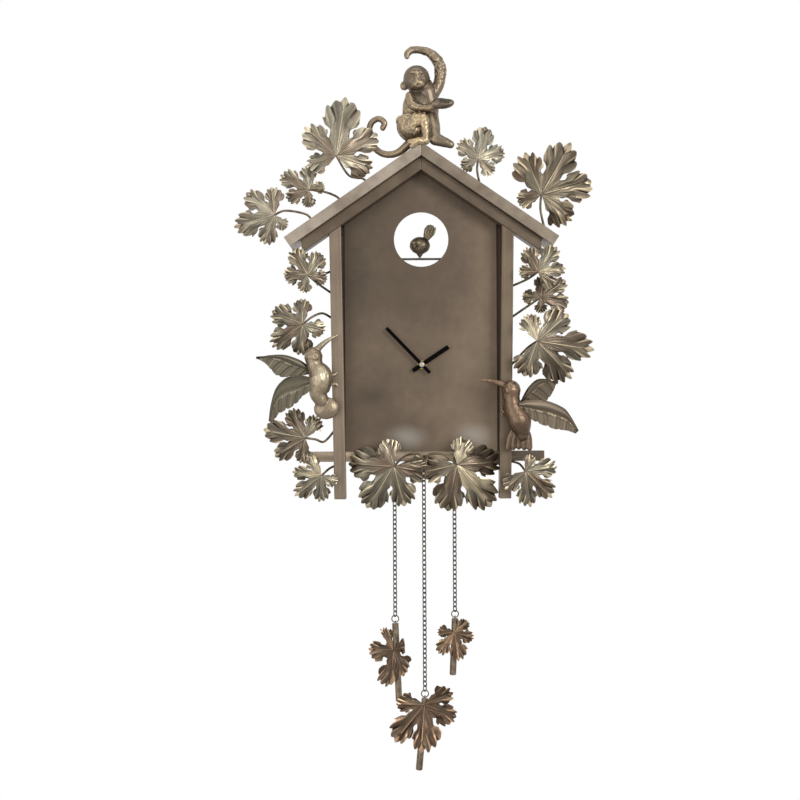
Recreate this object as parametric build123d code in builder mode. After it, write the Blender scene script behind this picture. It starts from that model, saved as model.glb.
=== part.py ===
from build123d import *
import os
from itertools import pairwise
from math import cos, radians, sin, tan

# Metal wall clock in the form of a bird house, in millimetres.
# X runs to the right, Y into the wall, Z up. The wall is the plane y = 0, the front faces -Y,
# and the origin is the hanger hole behind the gable.

# House
ROOF_PITCH = 34.5
RIDGE_Z = 37.5
ROOF_LENGTH = 218.0
ROOF_BAND = 14.5
ROOF_DEPTH = 80.0
GABLE_REACH = 157.0
GABLE_BAND = 14.5
SHEET = 1.5
PAN_DEPTH = 40.0
PAN_APEX_Z = 12.0
PAN_BOTTOM_Z = -367.0
PAN_HALF_TOP = 113.0
PAN_HALF_BOTTOM = 109.0
POST_WIDTH = 15.4
POST_DEPTH = 30.0
POST_BOTTOM_Z = -428.5
POST_OUTER_TOP = 120.8
POST_OUTER_BOTTOM = 115.8
TUBE_WALL = 1.2
BAR_SIDE = 13.5
BAR_LENGTH = 324.0
WINDOW_Z = -86.3
WINDOW_RADIUS = 36.0
PERCH_Z = -112.0
PERCH_RADIUS = 1.5
PERCH_LENGTH = 66.0
HANGER_RADIUS = 4.0
HANGER_PLATE = 2.0
HANGER_BOTTOM_Z = -14.0

# Leaves, their stems and the lobes' toothed edge
LEAF_GAUGE = 1.2
LEAF_CROWN = 2.4
LOBE_HALF_ANGLE = 30.0
SINUS_SHARE = 0.42
HUB_NOTCH = 5.0
STEM_RADIUS = 1.3
STEM_BEND = 5.0
# From sinus to tip: share of the lobe's reach, and share of its half angle
LOBE_EDGE = (
    (0.52, 0.70), (0.66, 0.94), (0.70, 0.72), (0.83, 0.76), (0.83, 0.50), (0.95, 0.45), (0.91, 0.23),
)
# Each leaf: its hub, then bearing (clockwise from up) and reach of its five lobes
LEAVES = {
    "leaf_left_eave_large": ((-111, -62, 22), ((-107, 39), (-47, 55), (8, 79), (60, 61), (107, 48))),
    "leaf_left_eave_small": ((-148, -46, -20), ((184, 23), (252, 32), (299, 43), (352, 31), (438, 21))),
    "leaf_left_eave_end": ((-192, -70, -56), ((144, 23), (201, 39), (256, 54), (309, 48), (353, 37))),
    "leaf_left_post_top": ((-148, -88, -136), ((-164, 23), (-86, 31), (-30, 39), (28, 33), (103, 25))),
    "leaf_left_post_upper": ((-155, -85, -200), ((105, 29), (190, 39), (235, 48), (294, 44), (356, 33))),
    "leaf_left_post_lower": ((-153, -70, -348), ((193, 33), (239, 47), (281, 56), (329, 42), (388, 32))),
    "leaf_left_post_foot": ((-131, -88, -396), ((121, 22), (187, 34), (233, 43), (276, 38), (317, 29))),
    "leaf_right_eave_small": ((75, -60, 17), ((-116, 24), (-41, 34), (14, 45), (67, 37), (133, 27))),
    "leaf_right_eave_large": ((158, -60, -30), ((-106, 32), (-20, 58), (30, 79), (74, 69), (130, 51))),
    "leaf_right_post_top": ((150, -94, -134), ((-87, 24), (-23, 34), (38, 41), (82, 36), (127, 28))),
    "leaf_right_post_second": ((155, -72, -166), ((-84, 23), (12, 29), (56, 41), (99, 38), (178, 20))),
    "leaf_right_post_large": ((148, -100, -224), ((-19, 36), (50, 54), (98, 74), (136, 64), (200, 47))),
    "leaf_right_post_foot": ((133, -88, -392), ((26, 22), (83, 41), (135, 48), (171, 46), (228, 34))),
    "leaf_sill_left": ((-38, -64, -386), ((117, 45), (165, 54), (213, 65), (270, 57), (357, 34))),
    "leaf_sill_right": ((45, -64, -384), ((27, 33), (93, 56), (141, 72), (191, 62), (239, 47))),
}
# Bent wires from each hub to the frame, one list of points for each stem
ROOF_STEMS = (
    ((-111, -61, 22), (-95, -58, -3), (-77, -56, -7), (-71, -55, -13)),
    ((-148, -45, -20), (-128, -46, -23), (-111, -47, -30), (-106, -47, -38)),
    ((-192, -69, -56), (-178, -66, -50), (-152, -60, -54), (-143, -58, -63)),
    ((75, -59, 17), (74, -57, 2), (78, -55, -18)),
    ((158, -59, -30), (157, -57, -50), (163, -55, -77)),
)
SIDE_STEMS = (
    ((-148, -87, -136), (-136, -73, -146), (-118.4, -58, -158)),
    ((-133, -85, -134), (-126, -72, -133), (-118.8, -58, -129)),
    ((-155, -84, -200), (-143, -78, -190), (-130, -70, -185), (-118, -58, -191)),
    ((-153, -69, -348), (-140, -66, -350), (-129, -62, -353), (-115.8, -58, -339)),
    ((-131, -87, -396), (-122, -76, -388), (-115.2, -62, -385)),
    ((150, -93, -134), (138, -76, -142), (118.6, -60, -150)),
    ((155, -71, -166), (140, -66, -176), (118, -58, -191)),
    ((148, -99, -224), (136, -80, -233), (117, -60, -254)),
    ((133, -87, -392), (126, -76, -383), (115.2, -62, -380)),
)
SILL_STEMS = (
    ((-38, -63, -386), (-22, -66, -372), (-6, -68, -370), (1.5, -69, -377)),
    ((45, -63, -384), (28, -66, -371), (10, -68, -370), (1.5, -69, -377)),
    ((-38, -63, -386), (-37, -50, -378), (-37, -39.5, -376)),
    ((45, -63, -384), (43, -50, -377), (43, -39.5, -376)),
    ((1.5, -69, -377), (2.5, -54, -373), (1.5, -39.5, -374)),
)

# Chains: wire, links and rings, then for each chain its place, link count and pendant
LINK_WIRE = 0.7
LINK_INNER_LENGTH = 6.4
LINK_INNER_WIDTH = 4.0
LINK_PLAY = 0.3
EYE_RADIUS = 4.0
EYE_WIRE = 0.65
EYE_SHANK = 3.0
EYE_SHANK_RADIUS = 0.9
RING_RADIUS = 4.6
LOOP_RADIUS = 3.2
LOOP_WIRE = 0.8
ROD_RADIUS = 4.4
ROD_CHAMFER = 1.0
LEAF_SEAT = 0.4
CENTRE_EYE_Z = -383.3
CHAINS = {
    "left": ((-37.0, -33.0), 32),
    "centre": ((1.5, -69.0), 48),
    "right": ((42.5, -33.0), 31),
}
# Pendants: rod bottom, leaf hub height, lean of the rod, turn of the leaf about it, and the leaf's lobes
PENDANTS = {
    "left": (-700.0, -631, -2.5, -50, ((67, 25), (140, 39), (183, 45), (270, 37), (320, 33))),
    "centre": (-783.5, -697, 5, 0, ((61, 39), (105, 43), (180, 57), (216, 58), (268, 36))),
    "right": (-665.0, -608, 2.5, 0, ((48, 23), (104, 25), (170, 35), (217, 33), (269, 22))),
}

# Movement and hands
HUB_Z = -252.4
CASE_HALF_WIDTH = 28.0
CASE_BELOW = 31.0
CASE_ABOVE = 25.0
CASE_DEPTH = 15.5
CASE_WALL = 1.5
CASE_FACE = 1.3
CASE_CORNER = 3.0
BAY_TOP = -14.0
BAY_FLOOR = -29.5
WASHER = 1.0
WASHER_RADIUS = 8.8
COVER = 1.5
BUSH_RADIUS = 4.0
BUSH_LENGTH = 6.0
TUBE_RADIUS = 2.5
ARBOR_RADIUS = 1.5
PIVOT_RADIUS = 1.0
PIVOT_DEPTH = 0.8
PIVOT_LENGTH = 0.6
RUNNING_PLAY = 0.07
NUT_FLATS = 11.0
NUT_HEIGHT = 2.5
BATTERY_RADIUS = 7.1
BATTERY_LENGTH = 49.0
BATTERY_NIB = 1.5
BATTERY_NIB_RADIUS = 2.8
BATTERY_PLAY = 0.3
BATTERY_SHIFT = 0.6
BATTERY_EDGE = 0.8
CANNON_TEETH, MOTION_TEETH = 12, 36
MOTION_PINION_TEETH, HOUR_TEETH = 10, 40
MINUTE_MODULE = 0.5
HOUR_MODULE = MINUTE_MODULE * (CANNON_TEETH + MOTION_TEETH) / (MOTION_PINION_TEETH + HOUR_TEETH)
MOTION_BEARING = 45.0
WHEEL = 1.4
CANNON_WIDTH = 2.0
PINION_WIDTH = 2.6
KNOB_RADIUS = 5.0
KNOB_HEIGHT = 3.0
KNOB_GAP = 0.4
KNOB_FLUTES = 16
KNOB_FLUTE_RADIUS = 0.45
HAND_GAUGE = 0.8
HAND_BOSS = 2.0
MINUTE_LENGTH, MINUTE_TAIL, MINUTE_WIDTH, MINUTE_BEARING = 67.6, 15.3, 4.5, 316.2
HOUR_LENGTH, HOUR_TAIL, HOUR_WIDTH, HOUR_BEARING = 42.4, 14.4, 5.7, 56.35
HAND_NUT_RADIUS = 4.0
HAND_NUT_HEIGHT = 3.2
HAND_NUT_DOME = 2.0

FRONT = Plane(origin=(0, 0, 0), x_dir=(1, 0, 0), z_dir=(0, -1, 0))
SLOPE = tan(radians(ROOF_PITCH))
DROP = 1 / cos(radians(ROOF_PITCH))
POST_FRONT = PAN_DEPTH + POST_DEPTH
GABLE_TOP_Z = RIDGE_Z - ROOF_BAND * DROP
GABLE_LOW_Z = GABLE_TOP_Z - GABLE_BAND * DROP
BAR_Z = PAN_BOTTOM_Z - BAR_SIDE / 2
BAR_Y = -PAN_DEPTH + BAR_SIDE / 2
CASE_Y = -PAN_DEPTH + SHEET + WASHER

os.makedirs("parts", exist_ok=True)


def save(piece, name):
    """Labels a finished piece and writes it under its own name."""
    piece.part.label = name
    export_step(piece.part, f"parts/{name}.step")


# Dial pan: a gabled tray of sheet, open to the wall
pan_eave_z = PAN_APEX_Z - PAN_HALF_TOP * SLOPE
with BuildPart() as dial_pan:
    with BuildSketch(FRONT):
        with BuildLine():
            Polyline(
                (0, PAN_APEX_Z),
                (PAN_HALF_TOP, pan_eave_z),
                (PAN_HALF_BOTTOM, PAN_BOTTOM_Z),
                (-PAN_HALF_BOTTOM, PAN_BOTTOM_Z),
                (-PAN_HALF_TOP, pan_eave_z),
                close=True,
            )
        make_face()
    extrude(amount=PAN_DEPTH)
    offset(
        amount=-SHEET,
        openings=dial_pan.faces().sort_by(Axis.Y)[-1],
        kind=Kind.INTERSECTION,
    )
    with BuildSketch(FRONT.offset(PAN_DEPTH)):
        with Locations((0, WINDOW_Z)):
            Circle(WINDOW_RADIUS)
        with Locations((0, HUB_Z)):
            Circle(BUSH_RADIUS + RUNNING_PLAY)
    extrude(amount=-2 * SHEET, mode=Mode.SUBTRACT)
save(dial_pan, "dial_pan")

# Hanger plate: a gusset in the apex of the pan
hanger_top_z = PAN_APEX_Z - SHEET * DROP
hanger_half = (hanger_top_z - HANGER_BOTTOM_Z) / SLOPE
with BuildPart() as hanger_plate:
    with BuildSketch(FRONT):
        with BuildLine():
            Polyline(
                (0, hanger_top_z),
                (hanger_half, HANGER_BOTTOM_Z),
                (-hanger_half, HANGER_BOTTOM_Z),
                close=True,
            )
        make_face()
        Circle(HANGER_RADIUS, mode=Mode.SUBTRACT)
    extrude(amount=HANGER_PLATE)
save(hanger_plate, "hanger_plate")

# Posts, roof planks and gable bars, left and right
for side, hand in ((-1, "left"), (1, "right")):
    post_inner_top = POST_OUTER_TOP - POST_WIDTH
    with BuildPart() as post:
        with BuildSketch(FRONT.offset(PAN_DEPTH)):
            with BuildLine():
                Polyline(
                    (side * POST_OUTER_TOP, GABLE_LOW_Z - POST_OUTER_TOP * SLOPE),
                    (side * post_inner_top, GABLE_LOW_Z - post_inner_top * SLOPE),
                    (side * (POST_OUTER_BOTTOM - POST_WIDTH), POST_BOTTOM_Z),
                    (side * POST_OUTER_BOTTOM, POST_BOTTOM_Z),
                    close=True,
                )
            make_face()
        extrude(amount=POST_DEPTH)
        offset(
            amount=-TUBE_WALL,
            openings=post.faces().sort_by(Axis.Z)[-1],
            kind=Kind.INTERSECTION,
        )
    save(post, f"{hand}_post")

    run = Vector(side * cos(radians(ROOF_PITCH)), -sin(radians(ROOF_PITCH)))
    inward = Vector(-side * sin(radians(ROOF_PITCH)), -cos(radians(ROOF_PITCH)))
    ridge = Vector(0, RIDGE_Z)
    with BuildPart() as roof_plank:
        with BuildSketch(FRONT):
            with BuildLine():
                Polyline(
                    ridge,
                    ridge + run * ROOF_LENGTH,
                    ridge + run * ROOF_LENGTH + inward * ROOF_BAND,
                    (0, GABLE_TOP_Z),
                    close=True,
                )
            make_face()
        extrude(amount=ROOF_DEPTH)
        offset(
            amount=-TUBE_WALL,
            openings=roof_plank.faces().sort_by(Axis.Y)[-1],
            kind=Kind.INTERSECTION,
        )
    save(roof_plank, f"{hand}_roof_plank")

    with BuildPart() as gable_bar:
        with BuildSketch(FRONT.offset(PAN_DEPTH)):
            with BuildLine():
                Polyline(
                    (0, GABLE_TOP_Z),
                    (side * GABLE_REACH, GABLE_TOP_Z - GABLE_REACH * SLOPE),
                    (side * GABLE_REACH, GABLE_LOW_Z - GABLE_REACH * SLOPE),
                    (0, GABLE_LOW_Z),
                    close=True,
                )
            make_face()
        extrude(amount=POST_DEPTH)
        offset(
            amount=-TUBE_WALL,
            openings=gable_bar.faces().sort_by(Axis.Y)[-1],
            kind=Kind.INTERSECTION,
        )
    save(gable_bar, f"{hand}_gable_bar")

# Crossbar: a square tube under the pan, behind the posts, past both of them
with BuildPart() as crossbar:
    with BuildSketch(Plane.YZ.offset(-BAR_LENGTH / 2)):
        with Locations((BAR_Y, BAR_Z)):
            Rectangle(BAR_SIDE, BAR_SIDE)
            Rectangle(BAR_SIDE - 2 * TUBE_WALL, BAR_SIDE - 2 * TUBE_WALL, mode=Mode.SUBTRACT)
    extrude(amount=BAR_LENGTH)
save(crossbar, "crossbar")

# Perch rod: soldered to the back of the dial sheet across the window
perch_y = -PAN_DEPTH + SHEET + PERCH_RADIUS
with BuildPart() as perch_rod:
    with BuildSketch(Plane.YZ.offset(-PERCH_LENGTH / 2)):
        with Locations((perch_y, PERCH_Z)):
            Circle(PERCH_RADIUS)
    extrude(amount=PERCH_LENGTH)
save(perch_rod, "perch_rod")


def lump(centre, radii, turn=(0, 0, 0)):
    """An egg-shaped mass with three radii, for the cast figures."""
    return Location(centre, turn) * scale(Sphere(1, mode=Mode.PRIVATE), by=radii, mode=Mode.PRIVATE)


# Ball at each joint of a limb, a little fuller than the shanks it joins
KNUCKLE = 1.04


def limb(joints):
    """Tapered shanks from joint to joint, each joint a ball: (x, y, z, radius) for each."""
    for start, end in pairwise(joints):
        axis = Vector(*end[:3]) - Vector(*start[:3])
        with Locations(Plane(origin=start[:3], z_dir=axis)):
            Cone(start[3], end[3], axis.length, align=(Align.CENTER, Align.CENTER, Align.MIN))
            Sphere(start[3] * KNUCKLE)
        with Locations(Plane(origin=end[:3], z_dir=axis)):
            Sphere(end[3] * KNUCKLE)


# Cuckoo: a round bird with a cocked tail, standing on the perch
with BuildPart() as cuckoo_bird:
    add(lump((-1.7, perch_y, -94), (13.6, 12.5, 11.6)))
    limb(((-1.8, perch_y, -103, 6.0), (-2, perch_y, -109.5, 1.6)))
    limb(((-6.5, perch_y - 11, -92.5, 2.2), (-8.5, perch_y - 17, -93.5, 0.8)))
    add(lump((11, perch_y, -73), (4.8, 2.4, 13), (0, 24, 0)))
    with BuildSketch(Plane.YZ.offset(-PERCH_LENGTH / 2)):
        with Locations((perch_y, PERCH_Z)):
            Circle(PERCH_RADIUS)
    extrude(amount=PERCH_LENGTH, mode=Mode.SUBTRACT)
save(cuckoo_bird, "cuckoo_bird")

# Monkey: sits astride the ridge, one arm over its head, the other held out
SADDLE = 80.0
with BuildPart() as monkey:
    add(lump((-3, -50, 82), (20, 15, 32)))
    add(lump((-7, -50, 60), (24, 17.5, 20)))
    with Locations((-5.3, -54, 125)):
        Sphere(18)
    add(lump((-3.5, -68, 118), (9, 7, 8)))
    add(lump((-22.5, -52, 118), (4.5, 2.5, 5.5)))
    add(lump((12, -51, 122), (4.5, 2.5, 5.5)))
    limb(((9, -50, 104, 12), (13, -53, 72, 10)))
    limb(
        (
            (13, -49, 104, 7.5),
            (28.5, -50, 134, 6.6),
            (25, -51, 155, 5.6),
            (10, -52, 164.3, 5.1),
            (-8, -53, 164.8, 4.9),
            (-16.5, -54, 159.5, 4.6),
        )
    )
    limb(((-12, -52, 103, 6.8), (-8, -68, 86, 6.0), (19, -72, 87.5, 4.6)))
    add(lump((29, -72, 88.5), (15, 7, 7), (0, -8, 0)))
    limb(((11, -54, 56, 10), (17, -74, 62, 8), (19, -76, 36, 5.6)))
    add(lump((29, -76, 36.5), (13, 6, 5), (0, 22, 0)))
    limb(((-18, -54, 58, 11), (-22, -74, 66, 8.5), (-12, -76, 40, 5.8)))
    add(lump((-5, -79, 35.5), (9, 6, 5), (0, 20, 0)))
    limb(
        (
            (-14, -42, 42, 5.4),
            (-30, -38, 29, 4.7),
            (-46, -36, 27.3, 4.5),
            (-60, -35, 35, 4.3),
            (-68, -35, 52, 4.2),
            (-66, -36, 68, 4.1),
            (-56, -38, 74, 4.0),
            (-47.5, -39, 68, 3.9),
            (-50, -39, 60, 4.2),
        )
    )
    with BuildSketch(FRONT):
        with BuildLine():
            Polyline(
                (0, RIDGE_Z),
                (SADDLE, RIDGE_Z - SADDLE * SLOPE),
                (-SADDLE, RIDGE_Z - SADDLE * SLOPE),
                close=True,
            )
        make_face()
    extrude(amount=ROOF_DEPTH, mode=Mode.SUBTRACT)
save(monkey, "monkey")


def turned_body(y, crown, rump, girth):
    """A smooth body turned about a slanting line from crown to rump: (share of the way, radius)."""
    top = Vector(crown[0], y, crown[1])
    along = Vector(rump[0], y, rump[1]) - top
    place = Plane(origin=top, x_dir=along.cross(Vector(0, 1, 0)), z_dir=(0, 1, 0))
    with BuildSketch(place) as half:
        with BuildLine():
            skin = [place.to_local_coords(top + along * share) for share, _ in girth]
            outline = [(radius, point.Y) for point, (_, radius) in zip(skin, girth)]
            end = (0, place.to_local_coords(top + along).Y)
            Spline((0, 0), *outline, end)
            Line(end, (0, 0))
        make_face()
    revolve(half.sketch, axis=Axis(top, along))


# Left hummingbird: hovers against the post, bill up, tail curled over the post
LEFT_BIRD_Y = -84
with BuildPart() as hummingbird_left_body:
    turned_body(
        LEFT_BIRD_Y,
        (-141.0, -229.0),
        (-130.5, -304.0),
        ((0.04, 6.2), (0.15, 10.6), (0.34, 9.4), (0.51, 13.8), (0.70, 13.2), (0.86, 9.8), (0.96, 6.0)),
    )
    add(lump((-126.5, LEFT_BIRD_Y + 1, -308.5), (15, 6, 12.5), (0, -12, 0)))
    limb(((-135, LEFT_BIRD_Y, -231, 4.0), (-108.6, LEFT_BIRD_Y, -213.3, 1.0)))
    limb(((-128, LEFT_BIRD_Y + 4, -268, 2.6), (-113, -1 - POST_FRONT, -265, 2.0)))
    limb(((-127, LEFT_BIRD_Y + 4, -279, 2.6), (-112.5, -1 - POST_FRONT, -278, 2.0)))
save(hummingbird_left_body, "hummingbird_left_body")

# Right hummingbird: clings to the front of the post, bill over the dial
RIGHT_BIRD_Y = -86
TAIL_GAUGE = 6.0
with BuildPart() as hummingbird_right_body:
    turned_body(
        RIGHT_BIRD_Y,
        (110.0, -272.0),
        (129.5, -347.0),
        ((0.04, 6.5), (0.16, 11.8), (0.35, 10.8), (0.54, 14.2), (0.72, 13.4), (0.87, 9.6), (0.96, 5.8)),
    )
    with BuildSketch(FRONT.offset(-RIGHT_BIRD_Y - TAIL_GAUGE / 2)):
        with BuildLine():
            Polyline(
                (105, -359),
                (106, -364),
                (124, -361),
                (141, -360),
                (144, -349),
                (136, -332),
                (119, -334),
                close=True,
            )
        make_face()
    extrude(amount=TAIL_GAUGE)
    limb(((107, RIGHT_BIRD_Y, -280, 3.6), (71.7, RIGHT_BIRD_Y, -273.4, 0.9)))
    limb(((114, RIGHT_BIRD_Y + 4, -317, 2.8), (104.5, -1 - POST_FRONT, -315, 2.0)))
save(hummingbird_right_body, "hummingbird_right_body")


def turned_front(origin, turn):
    """An upright plane that faces the front, turned about the vertical through its origin."""
    swing = radians(turn)
    return Plane(origin=origin, x_dir=(cos(swing), sin(swing), 0), z_dir=(sin(swing), -cos(swing), 0))


# Wings: feathered plates, each with a smooth leading edge and a stepped trailing edge
WING_GAUGE = 1.8
WINGS = {
    "hummingbird_left_wings": (
        (
            (-148, -80, -260), 14,
            ((0, 5), (-14, 15), (-32, 20.5), (-52, 20), (-69, 16.5)),
            ((-57, 10.5), (-58, 9), (-49, 1.5), (-50, 0), (-41, -6.5), (-41, -8), (-26, -8.5), (0, -5)),
        ),
        (
            (-148, -90, -274), -14,
            ((0, 6), (-16, 7.5), (-31, 4), (-44, -9), (-51, -30), (-53, -54)),
            ((-44, -42), (-42, -43), (-32, -37), (-30, -38), (-21, -31), (-19, -32), (0, -14)),
        ),
    ),
    "hummingbird_right_wings": (
        (
            (130, -80, -300), -14,
            ((0, 2), (9, 18), (20, 27), (34, 27), (45, 22)),
            ((40, 15), (41, 13), (36, 6), (36, 4), (31, -1), (0, -6)),
        ),
        (
            (126, -94, -304), 14,
            ((0, 3), (18, 4.5), (37, 3), (59, -6), (69, -17), (80, -39)),
            ((68, -34), (67, -36), (49, -33), (47, -35), (31, -27), (29, -29), (4, -14)),
        ),
    ),
}
for name, pair in WINGS.items():
    with BuildPart() as wings:
        for root, turn, leading, trailing in pair:
            with BuildSketch(turned_front(root, turn)):
                with BuildLine():
                    Spline(*leading)
                    Polyline(leading[-1], *trailing, leading[0])
                make_face()
            extrude(amount=WING_GAUGE)
    save(wings, name)


def polar(bearing, reach):
    """A point at a bearing clockwise from up."""
    return reach * sin(radians(bearing)), reach * cos(radians(bearing))


def leaf_outline(lobes):
    """Outline of a vine leaf: toothed fans, one for each lobe, with a deep sinus between two."""
    points = []
    for i, (bearing, reach) in enumerate(lobes):
        left = LOBE_HALF_ANGLE
        right = LOBE_HALF_ANGLE
        if i > 0:
            last_bearing, last_reach = lobes[i - 1]
            left = min(left, (bearing - last_bearing) / 2)
            points.append(polar((bearing + last_bearing) / 2, SINUS_SHARE * min(reach, last_reach)))
        if i < len(lobes) - 1:
            right = min(right, (lobes[i + 1][0] - bearing) / 2)
        points += [polar(bearing - angle * left, share * reach) for share, angle in LOBE_EDGE]
        points.append(polar(bearing, reach))
        points += [polar(bearing + angle * right, share * reach) for share, angle in reversed(LOBE_EDGE)]
    stalk = (lobes[0][0] + lobes[-1][0]) / 2 + 180
    points.append(polar(stalk, HUB_NOTCH))
    return points


def pressed_leaf(place, lobes, dish=1):
    """A leaf cut from sheet, its hub on the place's origin, and domed: dish 1 bends it back, -1 forward."""
    dome = LEAF_CROWN * sum(reach for _, reach in lobes) / len(lobes)
    reach = max(reach for _, reach in lobes)
    with BuildSketch(place) as blank:
        with BuildLine():
            Polyline(*leaf_outline(lobes), close=True)
        make_face()
    extrude(blank.sketch, amount=reach, both=True)
    centre = place.origin - place.z_dir * dome * dish
    with Locations(Plane(origin=centre, x_dir=-place.z_dir * dish, z_dir=place.x_dir)):
        Sphere(dome, mode=Mode.INTERSECT)
        Sphere(dome - LEAF_GAUGE, mode=Mode.SUBTRACT)


for name, (hub, lobes) in LEAVES.items():
    with BuildPart() as leaf:
        pressed_leaf(turned_front(hub, 0), lobes)
    save(leaf, name)


def wire_stem(points):
    """A round wire bent through the points."""
    with BuildLine() as path:
        FilletPolyline(*points, radius=STEM_BEND)
    with BuildSketch(Plane(origin=path.line @ 0, z_dir=path.line % 0)) as wire:
        Circle(STEM_RADIUS)
    sweep(wire.sketch, path=path.line)


for name, stems in (("roof_stems", ROOF_STEMS), ("side_stems", SIDE_STEMS), ("sill_stems", SILL_STEMS)):
    with BuildPart() as stem_group:
        for points in stems:
            wire_stem(points)
    save(stem_group, name)


def wire_ring(centre, radius, wire, axis):
    """A closed round ring of wire about an axis."""
    with Locations(Plane(origin=centre, z_dir=axis)):
        Torus(radius, wire)


bar_eye_z = BAR_Z - BAR_SIDE / 2 - EYE_SHANK - EYE_RADIUS
eye_z = {"left": bar_eye_z, "centre": CENTRE_EYE_Z, "right": bar_eye_z}

# Chain eyes: rings on short shanks under the crossbar and at the meeting of the sill stems
with BuildPart() as chain_eyes:
    for hand, ((x, y), _) in CHAINS.items():
        wire_ring((x, y, eye_z[hand]), EYE_RADIUS, EYE_WIRE, (0, 1, 0))
        with Locations((x, y, eye_z[hand] + EYE_RADIUS)):
            Cylinder(EYE_SHANK_RADIUS, EYE_SHANK, align=(Align.CENTER, Align.CENTER, Align.MIN))
save(chain_eyes, "chain_eyes")

# Chains: oval links set across each other, the last one holding a round ring
link_bow = LINK_INNER_WIDTH / 2 + LINK_WIRE
link_straight = LINK_INNER_LENGTH - LINK_INNER_WIDTH
link_pitch = LINK_INNER_LENGTH - LINK_PLAY
first_drop = EYE_RADIUS + LINK_INNER_LENGTH / 2 - EYE_WIRE - LINK_PLAY / 2
ring_drop = LINK_INNER_LENGTH / 2 - LINK_WIRE - LINK_PLAY + RING_RADIUS
loop_drop = RING_RADIUS + LOOP_RADIUS - LOOP_WIRE - LINK_WIRE - LINK_PLAY

with BuildPart() as link:
    with BuildLine(Plane.XZ) as oval:
        top = CenterArc((0, link_straight / 2), link_bow, 0, 180)
        low = CenterArc((0, -link_straight / 2), link_bow, 180, 180)
        Line(top @ 1, low @ 0)
        Line(low @ 1, top @ 0)
    with BuildSketch(Plane(origin=oval.wires()[0] @ 0, z_dir=oval.wires()[0] % 0)):
        Circle(LINK_WIRE)
    sweep(path=oval.wires()[0])

for hand, ((x, y), count) in CHAINS.items():
    first_z = eye_z[hand] - first_drop
    ring_z = first_z - (count - 1) * link_pitch - ring_drop
    with BuildPart() as chain:
        for i in range(count):
            turn = 45 if i % 2 else -45
            with Locations(Location((x, y, first_z - i * link_pitch), (0, 0, turn))):
                add(link.part)
        wire_ring((x, y, ring_z), RING_RADIUS, LINK_WIRE, (0, 1, 0))
    save(chain, f"{hand}_chain")

    rod_bottom_z, leaf_z, lean, leaf_turn, lobes = PENDANTS[hand]
    loop_z = ring_z - loop_drop
    hang = Location((x, y, loop_z), (0, lean, 0))
    with BuildPart() as pendant_rod:
        wire_ring((x, y, loop_z), LOOP_RADIUS, LOOP_WIRE, (1, 0, 0))
        with Locations(hang):
            Cylinder(ROD_RADIUS, loop_z - rod_bottom_z, align=(Align.CENTER, Align.CENTER, Align.MAX))
        chamfer(pendant_rod.edges().filter_by(GeomType.CIRCLE).group_by(Axis.Z)[0], ROD_CHAMFER)
    save(pendant_rod, f"{hand}_pendant_rod")

    with BuildPart() as pendant_leaf:
        leaf_place = turned_front((0, 0, leaf_z - loop_z), leaf_turn).offset(ROD_RADIUS - LEAF_SEAT)
        pressed_leaf(Plane(hang * leaf_place.location), lobes, -1)
    save(pendant_leaf, f"{hand}_pendant_leaf")

# Movement case: a square box with the threaded bush in front and the battery bay below, open behind
case_front = FRONT.offset(-CASE_Y)
inner_half = CASE_HALF_WIDTH - CASE_WALL
motion_arm = MINUTE_MODULE * (CANNON_TEETH + MOTION_TEETH) / 2
motion_x = motion_arm * sin(radians(MOTION_BEARING))
motion_z = HUB_Z + motion_arm * cos(radians(MOTION_BEARING))
with BuildPart() as movement_case:
    with BuildSketch(case_front):
        with Locations((0, HUB_Z + (CASE_ABOVE - CASE_BELOW) / 2)):
            RectangleRounded(2 * CASE_HALF_WIDTH, CASE_ABOVE + CASE_BELOW, CASE_CORNER)
    extrude(amount=-CASE_DEPTH)
    with BuildSketch(case_front.offset(-CASE_DEPTH)):
        room_top = CASE_ABOVE - CASE_WALL
        room_low = BAY_TOP + CASE_WALL
        with Locations((0, HUB_Z + (room_top + room_low) / 2)):
            Rectangle(2 * inner_half, room_top - room_low)
        with Locations((0, HUB_Z + (BAY_TOP + BAY_FLOOR) / 2)):
            Rectangle(2 * inner_half, BAY_TOP - BAY_FLOOR)
    extrude(amount=CASE_DEPTH - CASE_FACE, mode=Mode.SUBTRACT)
    with BuildSketch(case_front):
        with Locations((0, HUB_Z)):
            Circle(BUSH_RADIUS)
    extrude(amount=BUSH_LENGTH)
    with BuildSketch(case_front.offset(BUSH_LENGTH)):
        with Locations((0, HUB_Z)):
            Circle(TUBE_RADIUS + RUNNING_PLAY)
    extrude(amount=-BUSH_LENGTH - CASE_FACE, mode=Mode.SUBTRACT)
    with BuildSketch(case_front.offset(-CASE_FACE)):
        with Locations((motion_x, motion_z)):
            Circle(PIVOT_RADIUS + RUNNING_PLAY)
    extrude(amount=PIVOT_DEPTH, mode=Mode.SUBTRACT)
save(movement_case, "movement_case")

# Rear cover: closes the gear room and carries the rear pivots; the battery bay stays open
with BuildPart() as movement_cover:
    with BuildSketch(case_front.offset(-CASE_DEPTH)):
        with Locations((0, HUB_Z + (CASE_ABOVE + BAY_TOP) / 2)):
            RectangleRounded(2 * CASE_HALF_WIDTH, CASE_ABOVE - BAY_TOP, CASE_CORNER)
        with Locations((0, HUB_Z), (motion_x, motion_z)):
            Circle(PIVOT_RADIUS + RUNNING_PLAY, mode=Mode.SUBTRACT)
    extrude(amount=-COVER)
save(movement_cover, "movement_cover")

# Rubber washer between case and dial, and the nut that clamps the bush from the front
with BuildPart() as dial_washer:
    with BuildSketch(case_front):
        with Locations((0, HUB_Z)):
            Circle(WASHER_RADIUS)
            Circle(BUSH_RADIUS + RUNNING_PLAY, mode=Mode.SUBTRACT)
    extrude(amount=WASHER)
save(dial_washer, "dial_washer")

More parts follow.
